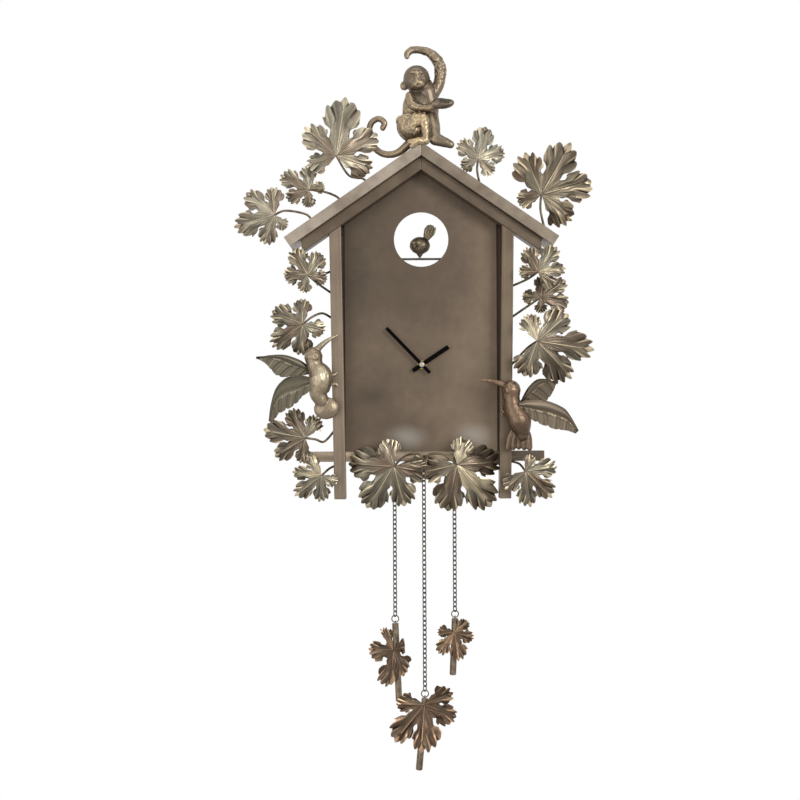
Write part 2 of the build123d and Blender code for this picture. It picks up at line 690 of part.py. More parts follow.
with BuildPart() as dial_nut:
    with BuildSketch(FRONT.offset(PAN_DEPTH)):
        with Locations((0, HUB_Z)):
            RegularPolygon(NUT_FLATS / 2, 6, major_radius=False)
            Circle(BUSH_RADIUS, mode=Mode.SUBTRACT)
    extrude(amount=NUT_HEIGHT)
save(dial_nut, "dial_nut")

# Battery, its two contact strips, the motor coil on its bobbin, and the circuit board
battery_y = CASE_Y + CASE_FACE + BATTERY_RADIUS + BATTERY_PLAY
battery_z = HUB_Z + (BAY_TOP + BAY_FLOOR) / 2
with BuildPart() as battery:
    with BuildSketch(Plane.YZ.offset(-BATTERY_LENGTH / 2 - BATTERY_SHIFT)):
        with Locations((battery_y, battery_z)):
            Circle(BATTERY_RADIUS)
    extrude(amount=BATTERY_LENGTH)
    fillet(battery.edges(), BATTERY_EDGE)
    with BuildSketch(Plane.YZ.offset(BATTERY_LENGTH / 2 - BATTERY_SHIFT)):
        with Locations((battery_y, battery_z)):
            Circle(BATTERY_NIB_RADIUS)
    extrude(amount=BATTERY_NIB)
save(battery, "battery")

CONTACT, CONTACT_DEPTH, CONTACT_HEIGHT = 0.5, 10.0, 9.0
with BuildPart() as battery_contacts:
    for side in (-1, 1):
        with Locations((side * (inner_half - CONTACT / 2), battery_y, battery_z)):
            Box(CONTACT, CONTACT_DEPTH, CONTACT_HEIGHT)
save(battery_contacts, "battery_contacts")

COIL_RADIUS, COIL_LENGTH, BOBBIN_RADIUS, FLANGE = 2.8, 11.0, 3.6, 1.0
COIL_X, COIL_RISE = -24.0, 17.0
room_y = CASE_Y + CASE_FACE
with BuildPart() as motor_coil:
    coil_x = COIL_X
    for radius, length in ((BOBBIN_RADIUS, FLANGE), (COIL_RADIUS, COIL_LENGTH), (BOBBIN_RADIUS, FLANGE)):
        with BuildSketch(Plane.YZ.offset(coil_x)):
            with Locations((room_y + BOBBIN_RADIUS, HUB_Z + COIL_RISE)):
                Circle(radius)
        extrude(amount=length)
        coil_x += length
save(motor_coil, "motor_coil")

BOARD_X, BOARD_WIDTH, BOARD, BOARD_HEIGHT = -20.0, 11.0, 1.0, 18.0
CHIP_SIDE, CHIP, CHIP_RISE = 5.0, 1.2, 3.0
with BuildPart() as circuit_board:
    with Locations((BOARD_X, room_y, HUB_Z)):
        Box(BOARD_WIDTH, BOARD, BOARD_HEIGHT, align=(Align.CENTER, Align.MIN, Align.CENTER))
    with Locations((BOARD_X, room_y + BOARD, HUB_Z + CHIP_RISE)):
        Box(CHIP_SIDE, CHIP, CHIP_SIDE, align=(Align.CENTER, Align.MIN, Align.CENTER))
save(circuit_board, "circuit_board")


# Half a tooth from root to tip: height in modules from the pitch circle, half width in tooth pitches
TOOTH_EDGE = ((-1.0, 0.27), (0.0, 0.20), (0.75, 0.09))


def toothed_wheel(plane, centre, teeth, module, width, phase=0.0):
    """A wheel of stub teeth with room to run, sketched on a plane and given its width."""
    rise = [(module * (teeth / 2 + height), share) for height, share in TOOTH_EDGE]
    tooth = [(reach, -share) for reach, share in rise] + rise[::-1]
    pitch = 360 / teeth
    points = []
    for i in range(teeth):
        for reach, share in tooth:
            points.append(Vector(centre) + Vector(polar(phase + (i + share) * pitch, reach)))
    with BuildSketch(plane) as wheel:
        with BuildLine():
            Polyline(*points, close=True)
        make_face()
    extrude(wheel.sketch, amount=width)


# Wheel planes, counted back from the inside of the case face, and how far the arbors stand out
HOUR_SETBACK, MOTION_SETBACK, CANNON_SETBACK, CENTRE_SETBACK = 2.0, 4.4, 4.8, 8.4
TUBE_STANDOFF, MINUTE_STANDOFF, ARBOR_STANDOFF = 3.0, 2.5, 2.4
hour_plane = FRONT.offset(-room_y - HOUR_SETBACK)
motion_plane = FRONT.offset(-room_y - MOTION_SETBACK)
hub = (0, HUB_Z)
motion_centre = (motion_x, motion_z)
tube_end = -CASE_Y + BUSH_LENGTH + TUBE_STANDOFF
minute_hand_y = tube_end + MINUTE_STANDOFF
arbor_end = minute_hand_y + HAND_GAUGE + ARBOR_STANDOFF

# Hour wheel with the tube that carries the hour hand
with BuildPart() as hour_wheel:
    toothed_wheel(hour_plane, hub, HOUR_TEETH, HOUR_MODULE, WHEEL)
    with BuildSketch(hour_plane):
        with Locations(hub):
            Circle(TUBE_RADIUS)
    extrude(amount=tube_end + room_y + HOUR_SETBACK)
    with BuildSketch(hour_plane):
        with Locations(hub):
            Circle(ARBOR_RADIUS + RUNNING_PLAY)
    extrude(amount=tube_end + room_y + HOUR_SETBACK, mode=Mode.SUBTRACT)
save(hour_wheel, "hour_wheel")

# Minute arbor with its cannon pinion and centre wheel
CENTRE_TEETH, CENTRE_MODULE, CENTRE_WHEEL = 60, 0.28, 1.0
ARBOR_END_PLAY = 0.5
cover_y = CASE_Y + CASE_DEPTH
with BuildPart() as minute_arbor:
    with BuildSketch(FRONT.offset(-cover_y + ARBOR_END_PLAY)):
        with Locations(hub):
            Circle(ARBOR_RADIUS)
    extrude(amount=arbor_end + cover_y - ARBOR_END_PLAY)
    with BuildSketch(FRONT.offset(-cover_y - COVER + ARBOR_END_PLAY)):
        with Locations(hub):
            Circle(PIVOT_RADIUS)
    extrude(amount=COVER + PIVOT_LENGTH)
    toothed_wheel(FRONT.offset(-room_y - CANNON_SETBACK), hub, CANNON_TEETH, MINUTE_MODULE, CANNON_WIDTH)
    toothed_wheel(FRONT.offset(-room_y - CENTRE_SETBACK), hub, CENTRE_TEETH, CENTRE_MODULE, CENTRE_WHEEL)
save(minute_arbor, "minute_arbor")

# Motion wheel and pinion on the setting arbor, and the knob behind the cover.
# Each mesh has a tooth of one wheel on the line of centres and a gap of the other.
with BuildPart() as motion_wheel:
    line_of_centres = MOTION_BEARING + 180
    cannon_step = line_of_centres - 180
    wheel_phase = line_of_centres + (0.5 + cannon_step / (360 / CANNON_TEETH)) * 360 / MOTION_TEETH
    pinion_phase = line_of_centres + (0.5 + cannon_step / (360 / HOUR_TEETH)) * 360 / MOTION_PINION_TEETH
    toothed_wheel(motion_plane, motion_centre, MOTION_TEETH, MINUTE_MODULE, WHEEL, wheel_phase)
    toothed_wheel(
        motion_plane.offset(WHEEL),
        motion_centre,
        MOTION_PINION_TEETH,
        HOUR_MODULE,
        PINION_WIDTH,
        pinion_phase,
    )
    with BuildSketch(FRONT.offset(-cover_y - COVER - KNOB_HEIGHT)):
        with Locations(motion_centre):
            Circle(PIVOT_RADIUS)
    extrude(amount=CASE_DEPTH - CASE_FACE + COVER + KNOB_HEIGHT + PIVOT_LENGTH)
save(motion_wheel, "motion_wheel")

with BuildPart() as setting_knob:
    with BuildSketch(FRONT.offset(-cover_y - COVER - KNOB_GAP)):
        with Locations(motion_centre):
            Circle(KNOB_RADIUS)
            with PolarLocations(KNOB_RADIUS, KNOB_FLUTES):
                Circle(KNOB_FLUTE_RADIUS, mode=Mode.SUBTRACT)
            Circle(PIVOT_RADIUS, mode=Mode.SUBTRACT)
    extrude(amount=-KNOB_HEIGHT)
save(setting_knob, "setting_knob")


def baton_hand(front_y, bearing, length, tail, width, bore):
    """A flat square-ended hand with a round boss, lying on its plane at a bearing."""
    with BuildSketch(FRONT.offset(front_y)) as blade:
        with Locations(Location((0, HUB_Z, 0), (0, 0, -bearing))):
            with Locations((0, (length - tail) / 2)):
                Rectangle(width, length + tail)
            Circle(bore + HAND_BOSS)
            Circle(bore, mode=Mode.SUBTRACT)
    extrude(blade.sketch, amount=HAND_GAUGE)


with BuildPart() as hour_hand:
    baton_hand(tube_end - HAND_GAUGE, HOUR_BEARING, HOUR_LENGTH, HOUR_TAIL, HOUR_WIDTH, TUBE_RADIUS)
save(hour_hand, "hour_hand")

with BuildPart() as minute_hand:
    baton_hand(minute_hand_y, MINUTE_BEARING, MINUTE_LENGTH, MINUTE_TAIL, MINUTE_WIDTH, ARBOR_RADIUS)
save(minute_hand, "minute_hand")

# Hand nut: a domed cap on the end of the minute arbor
nut_y = minute_hand_y + HAND_GAUGE
with BuildPart() as hand_nut:
    with BuildSketch(FRONT.offset(nut_y)):
        with Locations(hub):
            Circle(HAND_NUT_RADIUS)
    extrude(amount=HAND_NUT_HEIGHT)
    fillet(hand_nut.edges().sort_by(Axis.Y)[0], HAND_NUT_DOME)
    with BuildSketch(FRONT.offset(nut_y)):
        with Locations(hub):
            Circle(ARBOR_RADIUS)
    extrude(amount=arbor_end - nut_y, mode=Mode.SUBTRACT)
save(hand_nut, "hand_nut")
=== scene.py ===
import math
import random

import bpy
import numpy
from mathutils import Matrix, Vector, noise


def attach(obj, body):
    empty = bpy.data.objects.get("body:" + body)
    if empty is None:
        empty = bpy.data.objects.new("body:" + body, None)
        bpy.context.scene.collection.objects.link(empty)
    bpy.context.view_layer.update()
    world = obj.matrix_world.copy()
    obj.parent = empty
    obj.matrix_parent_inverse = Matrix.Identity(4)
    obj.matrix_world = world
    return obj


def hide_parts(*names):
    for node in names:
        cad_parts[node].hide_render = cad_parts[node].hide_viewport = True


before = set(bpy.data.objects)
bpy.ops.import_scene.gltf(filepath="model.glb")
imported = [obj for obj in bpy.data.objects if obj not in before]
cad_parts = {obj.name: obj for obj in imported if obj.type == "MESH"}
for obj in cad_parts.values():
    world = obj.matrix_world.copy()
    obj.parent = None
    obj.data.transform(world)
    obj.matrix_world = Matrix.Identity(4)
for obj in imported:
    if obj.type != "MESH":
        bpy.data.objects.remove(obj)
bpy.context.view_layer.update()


# Dial pan: the house front, one sheet of mild steel folded into a shallow gabled tray, with a round
# window punched under the gable and a narrow channel pressed down each side. The sheet is blackened,
# bronzed and rubbed back to a satin brown. Its colour also holds painted light: it is lighter to the
# right and towards the foot, has two painted reflections near the foot and painted shade in the right
# channel.
class Level:
    """A quantity that varies over a surface, so that sums on it can be written as sums."""

    def __init__(self, finish, socket):
        self.finish = finish
        self.socket = socket

    def sum(self, operation, first, second):
        return self.finish.add("ShaderNodeMath", {"operation": operation}, {0: first, 1: second})

    def __add__(self, other):
        return self.sum("ADD", self, other)

    def __sub__(self, other):
        return self.sum("SUBTRACT", self, other)

    def __rsub__(self, other):
        return self.sum("SUBTRACT", other, self)

    def __mul__(self, other):
        return self.sum("MULTIPLY", self, other)

    def __gt__(self, other):
        return self.sum("GREATER_THAN", self, other)

    __radd__ = __add__
    __rmul__ = __mul__

    def between(self, low, high):
        """Colour that runs from low to high with this level."""
        return self.finish.add("ShaderNodeMix", {"data_type": "RGBA"}, {0: self, 6: low, 7: high}, 2)


class Finish:
    """A surface finish: a principled shader and the nodes that vary it."""

    def __init__(self, name, **shader):
        self.material = bpy.data.materials.new(name)
        self.material.use_nodes = True
        self.tree = self.material.node_tree
        self.shader = self.tree.nodes["Principled BSDF"]
        self.feed(self.shader, {key.replace("_", " "): value for key, value in shader.items()})

    def feed(self, node, sockets):
        for key, value in sockets.items():
            if isinstance(value, Level):
                self.tree.links.new(value.socket, node.inputs[key])
            else:
                node.inputs[key].default_value = value

    def add(self, kind, settings, sockets, out=0):
        """A node with its settings and the values or levels of its sockets; of a ramp's stops the two
        ends come first."""
        node = self.tree.nodes.new(kind)
        for key, value in settings.items():
            if key == "stops":
                first, last = node.color_ramp.elements
                for stop, (spot, colour) in zip((first, last), value):
                    stop.position, stop.color = spot, colour
                for spot, colour in value[2:]:
                    node.color_ramp.elements.new(spot).color = colour
            else:
                setattr(node, key, value)
        self.feed(node, sockets)
        return Level(self, node.outputs[out])

    def place(self, stretch=(1, 1, 1)):
        """Object coordinates, stretched."""
        spot = self.add("ShaderNodeTexCoord", {}, {}, "Object")
        return self.add("ShaderNodeMapping", {}, {"Vector": spot, "Scale": stretch})

    def cloud(self, scale, detail=4.0, stretch=(1, 1, 1)):
        """Soft blotches, scale to the metre, from about 0.3 to 0.7."""
        sockets = {"Vector": self.place(stretch), "Scale": scale, "Detail": detail}
        return self.add("ShaderNodeTexNoise", {}, sockets)

    def ramp(self, level, *stops):
        return self.add("ShaderNodeValToRGB", {"stops": stops}, {"Fac": level})

    def surface(self, colour, rough, height=None, strength=0.1, depth=0.0005):
        """Sets the shader's colour and roughness and, if a height is given, lets it stand out."""
        self.feed(self.shader, {"Base Color": colour, "Roughness": rough})
        if height is not None:
            sockets = {"Height": height, "Strength": strength, "Distance": depth}
            self.feed(self.shader, {"Normal": self.add("ShaderNodeBump", {}, sockets)})


def shade(red, green, blue):
    """A colour as eight-bit screen values, made linear."""
    return (*(((c / 255 + 0.055) / 1.055) ** 2.4 for c in (red, green, blue)), 1.0)


def dress(piece, finish):
    piece.data.materials.clear()
    piece.data.materials.append(finish.material)


def seat(piece, body, finish, slot, *nodes):
    """Finishes a piece, hides the parts it stands for and lets it ride on its body."""
    dress(piece, finish)
    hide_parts(*nodes)
    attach(piece, body)


def apply_all(piece):
    bpy.ops.object.select_all(action="DESELECT")
    piece.select_set(True)
    bpy.context.view_layer.objects.active = piece
    for modifier in list(piece.modifiers):
        bpy.ops.object.modifier_apply(modifier=modifier.name)


def ease(piece, width):
    """Rounds the edges of a piece a little, as rolled sheet and tube are."""
    bevel = piece.modifiers.new("edge", "BEVEL")
    bevel.width = width
    bevel.segments = 3
    bevel.angle_limit = math.radians(30)
    apply_all(piece)
    bpy.ops.object.shade_smooth_by_angle(angle=math.radians(12))


def outline_face(name, outline, y):
    """A flat face at depth y with its corners given as (x, z)."""
    bpy.ops.mesh.primitive_circle_add(vertices=len(outline), fill_type="NGON")
    piece = bpy.context.object
    piece.name = name
    for vertex, (x, z) in zip(piece.data.vertices, outline):
        vertex.co = (x, y, z)
    return piece


def set_in_order():
    """Ends the editing of a piece: normals out, and its parts in one order, by their distance from a
    skew point, since carrying faces back leaves them in a chance order that rounded edges show."""
    cursor = bpy.context.scene.cursor
    cursor.location = (0.31, -0.17, 0.53)
    bpy.ops.mesh.select_all(action="SELECT")
    bpy.ops.mesh.normals_make_consistent(inside=False)
    bpy.ops.mesh.sort_elements(type="CURSOR_DISTANCE", elements={"VERT", "EDGE", "FACE"})
    bpy.ops.object.mode_set(mode="OBJECT")
    cursor.location = (0, 0, 0)


def face_forward(sheet):
    """Turns a sheet over if most of it looks to the back."""
    if sum(face.normal.y * face.area for face in sheet.data.polygons) > 0:
        bpy.ops.object.mode_set(mode="EDIT")
        bpy.ops.mesh.select_all(action="SELECT")
        bpy.ops.mesh.flip_normals()
        bpy.ops.object.mode_set(mode="OBJECT")


def cut_out(piece, cutter):
    """Takes the cutter's shape out of a piece."""
    hole = piece.modifiers.new("cut", "BOOLEAN")
    hole.object = cutter
    hole.operation = "DIFFERENCE"
    apply_all(piece)
    bpy.data.objects.remove(cutter)


pitch = math.radians(34.5)
slope = math.tan(pitch)
pan_front, pan_apex, pan_foot = -0.040, 0.012, -0.367
pan_half_top, pan_half_low, pan_sheet = 0.113, 0.109, 0.0015
left_channel, right_channel, channel_out, channel_depth = -0.1015, 0.1000, 0.1054, 0.006
window_z, window_radius = -0.0863, 0.036
hub_z, bush_hole, fold_round = -0.2524, 0.0041, 0.0004
pan_eave = pan_apex - pan_half_top * slope
pan = outline_face(
    "dial_sheet",
    (
        (0, pan_apex),
        (pan_half_top, pan_eave),
        (pan_half_low, pan_foot),
        (-pan_half_low, pan_foot),
        (-pan_half_top, pan_eave),
    ),
    pan_front,
)
bpy.ops.object.mode_set(mode="EDIT")
bpy.ops.mesh.select_all(action="SELECT")
bpy.ops.mesh.extrude_region_move(TRANSFORM_OT_translate={"value": (0, -pan_front, 0)})
bpy.ops.mesh.delete(type="ONLY_FACE")
for cut in (-channel_out, left_channel, right_channel, channel_out):
    bpy.ops.mesh.select_all(action="SELECT")
    bpy.ops.mesh.bisect(plane_co=(cut, 0, 0), plane_no=(1, 0, 0))
bpy.ops.mesh.select_all(action="DESELECT")
bpy.ops.object.mode_set(mode="OBJECT")
for face in pan.data.polygons:
    level_front = abs(face.center.y - pan_front) < 1e-5
    in_channel = not left_channel < face.center.x < right_channel
    face.select = level_front and in_channel and abs(face.center.x) < channel_out
bpy.ops.object.mode_set(mode="EDIT")
bpy.ops.mesh.extrude_region_move(TRANSFORM_OT_translate={"value": (0, channel_depth, 0)})
bpy.ops.mesh.select_all(action="SELECT")
bpy.ops.mesh.remove_doubles(threshold=1e-5)
set_in_order()
face_forward(pan)
sheet = pan.modifiers.new("sheet", "SOLIDIFY")
sheet.thickness = pan_sheet
sheet.offset = -1
sheet.use_even_offset = True
for z, radius in ((window_z, window_radius), (hub_z, bush_hole)):
    bpy.ops.mesh.primitive_cylinder_add(
        vertices=96, radius=radius, depth=0.06, location=(0, pan_front, z), rotation=(math.pi / 2, 0, 0)
    )
    cut_out(pan, bpy.context.object)
ease(pan, fold_round)

satin = Finish("satin_bronze", Metallic=0.72)
drift = satin.cloud(7.0, 5.0)
grain = satin.cloud(420.0, 3.0, (1.0, 1.0, 0.05))
freckle = satin.cloud(95.0, 6.0)
across, into, up = (
    satin.add("ShaderNodeSeparateXYZ", {}, {"Vector": satin.place()}, axis) for axis in "XYZ"
)
# The two pale spots near the foot are painted reflections; the third spot, smudge, is a real darker
# smudge.
spots = []
spot_reach, spot_squeeze = 0.022, 0.6
for spot_x, spot_z in ((-0.022, -0.349), (0.069, -0.347), (-0.068, -0.294)):
    away = satin.add(
        "ShaderNodeVectorMath",
        {"operation": "DISTANCE"},
        {0: satin.place((spot_squeeze, 0.0, 1.0)), 1: (spot_x * spot_squeeze, 0.0, spot_z)},
        "Value",
    )
    fade = {"interpolation_type": "SMOOTHSTEP"}
    spots.append(satin.add("ShaderNodeMapRange", fade, {0: away, 1: spot_reach, 2: 0.0}))
left_reflection, right_reflection, smudge = spots
# Painted reflection: the two pale spots, on the front face only.
rubbed = (left_reflection + right_reflection) * 0.55 * (1.0 - (into > pan_front + fold_round))
# Painted light: the brown grows lighter to the right and towards the foot, where the sheet takes more
# light.
brown = satin.ramp(
    drift * 0.55 + freckle * 0.10 + across * 1.1 - up * 0.55 + 0.055 - smudge * freckle * 0.22,
    (0.30, shade(74, 64, 53)),
    (0.70, shade(128, 113, 95)),
    (0.45, shade(92, 79, 66)),
    (0.56, shade(110, 95, 79)),
)
# Painted shade: the right channel, shaded by the right post, is coloured dark.
channel_shade = (across > right_channel - fold_round) * (1.0 - (into > -0.030))
reflected_brown = rubbed.between(brown, shade(158, 152, 142))
satin.surface(
    (channel_shade * 0.75).between(reflected_brown, shade(66, 53, 41)),
    0.30 + drift * 0.18 + grain * 0.12,
    grain * 0.6 + freckle * 0.5,
    depth=0.0006,
)
seat(pan, "house", satin, "panel_bronze", "dial_pan")


# Posts, gable bars and crossbar: rectangular steel tube welded round the dial, bronzed a shade lighter
# than the sheet, with eased edges. The posts lean in a little towards the foot. Their tones hold painted
# light: the right post is painted darker, the gable bars partly darker as painted shade under the roof
# planks, and the crossbar paler to the left.
def prism(name, outline, front, back):
    """A front outline carried back, its edges still sharp."""
    piece = outline_face(name, outline, front)
    bpy.ops.object.mode_set(mode="EDIT")
    bpy.ops.mesh.select_all(action="SELECT")
    bpy.ops.mesh.extrude_region_move(TRANSFORM_OT_translate={"value": (0, back - front, 0)})
    set_in_order()
    return piece


def bar(name, outline, front, back, edge):
    """A length of tube with eased edges."""
    piece = prism(name, outline, front, back)
    ease(piece, edge)
    return piece


def deeper(tones, drop):
    """The same tones, darker by so many eight-bit steps."""
    return [[value - drop for value in tone] for tone in tones]


def tube_finish(name, tones, stretch, painted_light_left=0.0):
    """Bronzed tube in a dark, a middle and a pale tone: drawn streaks along the length and cloudy
    patina, and, if asked, painted light that makes it paler to the left."""
    dark, mid, pale = (shade(*tone) for tone in tones)
    tube = Finish(name, Metallic=0.70)
    streak = tube.cloud(260.0, 3.0, stretch)
    patch = tube.cloud(16.0, 5.0)
    across = tube.add("ShaderNodeSeparateXYZ", {}, {"Vector": tube.place()}, "X")
    level = streak * 0.4 + patch * 0.6 - across * painted_light_left
    tone = tube.ramp(level, (0.32, dark), (0.68, pale), (0.5, mid))
    tube.surface(tone, 0.28 + patch * 0.2 + streak * 0.1, streak, 0.08)
    return tube


ridge_z, band, gable_band = 0.0375, 0.0145, 0.0145
drop = 1 / math.cos(pitch)
gable_top = ridge_z - band * drop
gable_low = gable_top - gable_band * drop
post_front, post_wide = -0.070, 0.0154
post_out_top, post_out_low, post_foot = 0.1208, 0.1158, -0.4285
gable_reach, bar_half, bar_side, tube_edge = 0.157, 0.162, 0.0135, 0.0009
# The gable bars take a darker bronze than the posts: partly their own tone, partly painted shade under
# the roof planks.
gable_tones = ((80, 68, 55), (94, 81, 67), (110, 96, 79))
bar_tones = ((98, 86, 73), (134, 120, 102), (210, 190, 164))
post_tones = ((104, 90, 76), (122, 108, 92), (138, 124, 106))
slanted = tube_finish("gable_bronze", gable_tones, (0.2, 1, 0.2))
# Painted light: the crossbar is painted paler towards its left end, the stub that the post and leaves
# shade.
level_tube = tube_finish("crossbar_bronze", bar_tones, (0.03, 1, 1), 1.5)
# Painted shade: the right post's tones are lowered, set against the key lamp on that side.
for side, hand, darker in ((-1, "left", 0), (1, "right", 16)):
    upright = tube_finish(f"{hand}_post_bronze", deeper(post_tones, darker), (1, 1, 0.03))
    post_in_top = post_out_top - post_wide
    post = bar(
        f"{hand}_post_tube",
        (
            (side * post_out_top, gable_low - post_out_top * slope),
            (side * post_in_top, gable_low - post_in_top * slope),
            (side * (post_out_low - post_wide), post_foot),
            (side * post_out_low, post_foot),
        ),
        post_front,
        pan_front,
        tube_edge,
    )
    seat(post, "house", upright, "frame_bronze", f"{hand}_post")
    gable = bar(
        f"{hand}_gable_tube",
        (
            (0, gable_top),
            (side * gable_reach, gable_top - gable_reach * slope),
            (side * gable_reach, gable_low - gable_reach * slope),
            (0, gable_low),
        ),
        post_front,
        pan_front,
        tube_edge,
    )
    seat(gable, "house", slanted, "frame_bronze", f"{hand}_gable_bar")
bar_low = pan_foot - bar_side
crossbar = bar(
    "crossbar_tube",
    ((-bar_half, pan_foot), (bar_half, pan_foot), (bar_half, bar_low), (-bar_half, bar_low)),
    pan_front,
    pan_front + bar_side,
    tube_edge,
)
seat(crossbar, "house", level_tube, "frame_bronze", "crossbar")


# Roof planks: two folded channels that meet on the ridge and stand out past the gable bars. The outer
# faces are rubbed in cloudy patches, on the left to the palest bronze of the house; the right one is
# painted darker, painted shade set against the key lamp on that side.
roof_length, roof_front, fold_edge = 0.218, -0.080, 0.0007
roof_tones = ((128, 114, 100), (150, 138, 124), (168, 156, 140))
# Painted shade: the right plank's tones are lowered, set against the key lamp on that side.
for side, hand, darker in ((-1, "left", 0), (1, "right", 32)):
    roof_bronze = tube_finish(f"{hand}_roof_bronze", deeper(roof_tones, darker), (0.25, 1, 0.25))
    run = Vector((side * math.cos(pitch), -math.sin(pitch)))
    under = Vector((-side * math.sin(pitch), -math.cos(pitch)))
    ridge = Vector((0, ridge_z))
    eave = ridge + run * roof_length
    outline = (ridge, eave, eave + under * band, (0, gable_top))
    plank = bar(f"{hand}_roof_fold", outline, roof_front, 0.0, fold_edge)
    seat(plank, "house", roof_bronze, "roof_bronze", f"{hand}_roof_plank")


# Vine leaves: five-lobed blanks stamped from thin sheet between embossed dies, so that each lobe is
# pleated from the hub to its teeth, then dished, bronzed and rubbed until the pleats show gold; a
# painted highlight runs along one side of each finger.
leaf_lobes = {
    "leaf_left_eave_large": ((-111, -62, 22), ((-107, 39), (-47, 55), (8, 79), (60, 61), (107, 48))),
    "leaf_left_eave_small": ((-148, -46, -20), ((184, 23), (252, 32), (299, 43), (352, 31), (438, 21))),
    "leaf_left_eave_end": ((-192, -70, -56), ((144, 23), (201, 39), (256, 54), (309, 48), (353, 37))),
    "leaf_left_post_top": ((-148, -88, -136), ((-164, 23), (-86, 31), (-30, 39), (28, 33), (103, 25))),
    "leaf_left_post_upper": ((-155, -85, -200), ((105, 29), (190, 39), (235, 48), (294, 44), (356, 33))),
    "leaf_left_post_lower": ((-153, -70, -348), ((193, 33), (239, 47), (281, 56), (329, 42), (388, 32))),
    "leaf_left_post_foot": ((-131, -88, -396), ((121, 22), (187, 34), (233, 43), (276, 38), (317, 29))),
    "leaf_right_eave_small": ((75, -60, 17), ((-116, 24), (-41, 34), (14, 45), (67, 37), (133, 27))),
    "leaf_right_eave_large": ((158, -60, -30), ((-106, 32), (-20, 58), (30, 79), (74, 69), (130, 51))),
    "leaf_right_post_top": ((150, -94, -134), ((-87, 24), (-23, 34), (38, 41), (82, 36), (127, 28))),
    "leaf_right_post_second": ((155, -72, -166), ((-84, 23), (12, 29), (56, 41), (99, 38), (178, 20))),
    "leaf_right_post_large": ((148, -100, -224), ((-19, 36), (50, 54), (98, 74), (136, 64), (200, 47))),
    "leaf_right_post_foot": ((133, -88, -392), ((26, 22), (83, 41), (135, 48), (171, 46), (228, 34))),
    "leaf_sill_left": ((-38, -64, -386), ((101, 46), (165, 54), (213, 65), (273, 58), (347, 36))),
    "leaf_sill_right": ((45, -64, -384), ((18, 36), (87, 57), (141, 72), (191, 62), (257, 47))),
}
leaf_crown, leaf_sheet, first_seed = 2.4, 0.0011, 40
lobe_spread, outer_spread, sinus_share, web, shoulder = 38.0, 36.0, 0.46, 0.55, 0.74
neck_pinch, neck_end = 0.24, 0.62
side_fingers, finger_lean, finger_pitch = 7, 2.2, (0.34, 0.44)
finger_tilt, finger_bold, finger_crown, tooth = 0.024, (0.4, 1.5), 0.012, 0.095
lobe_lean, lobe_twist, lobe_fold = (-0.08, 0.12), 0.32, (-0.15, 0.38)
wave_count, wave_height, groove_depth = (1.5, 2.5), 0.024, 0.022
rib_height, vein_height, seam_height = 0.022, 0.010, 0.0007


def smooth(low, high, value):
    share = min(max((value - low) / (high - low), 0.0), 1.0)
    return share * share * (3 - 2 * share)


def hump(value, width):
    return math.exp(-((value / width) ** 2))


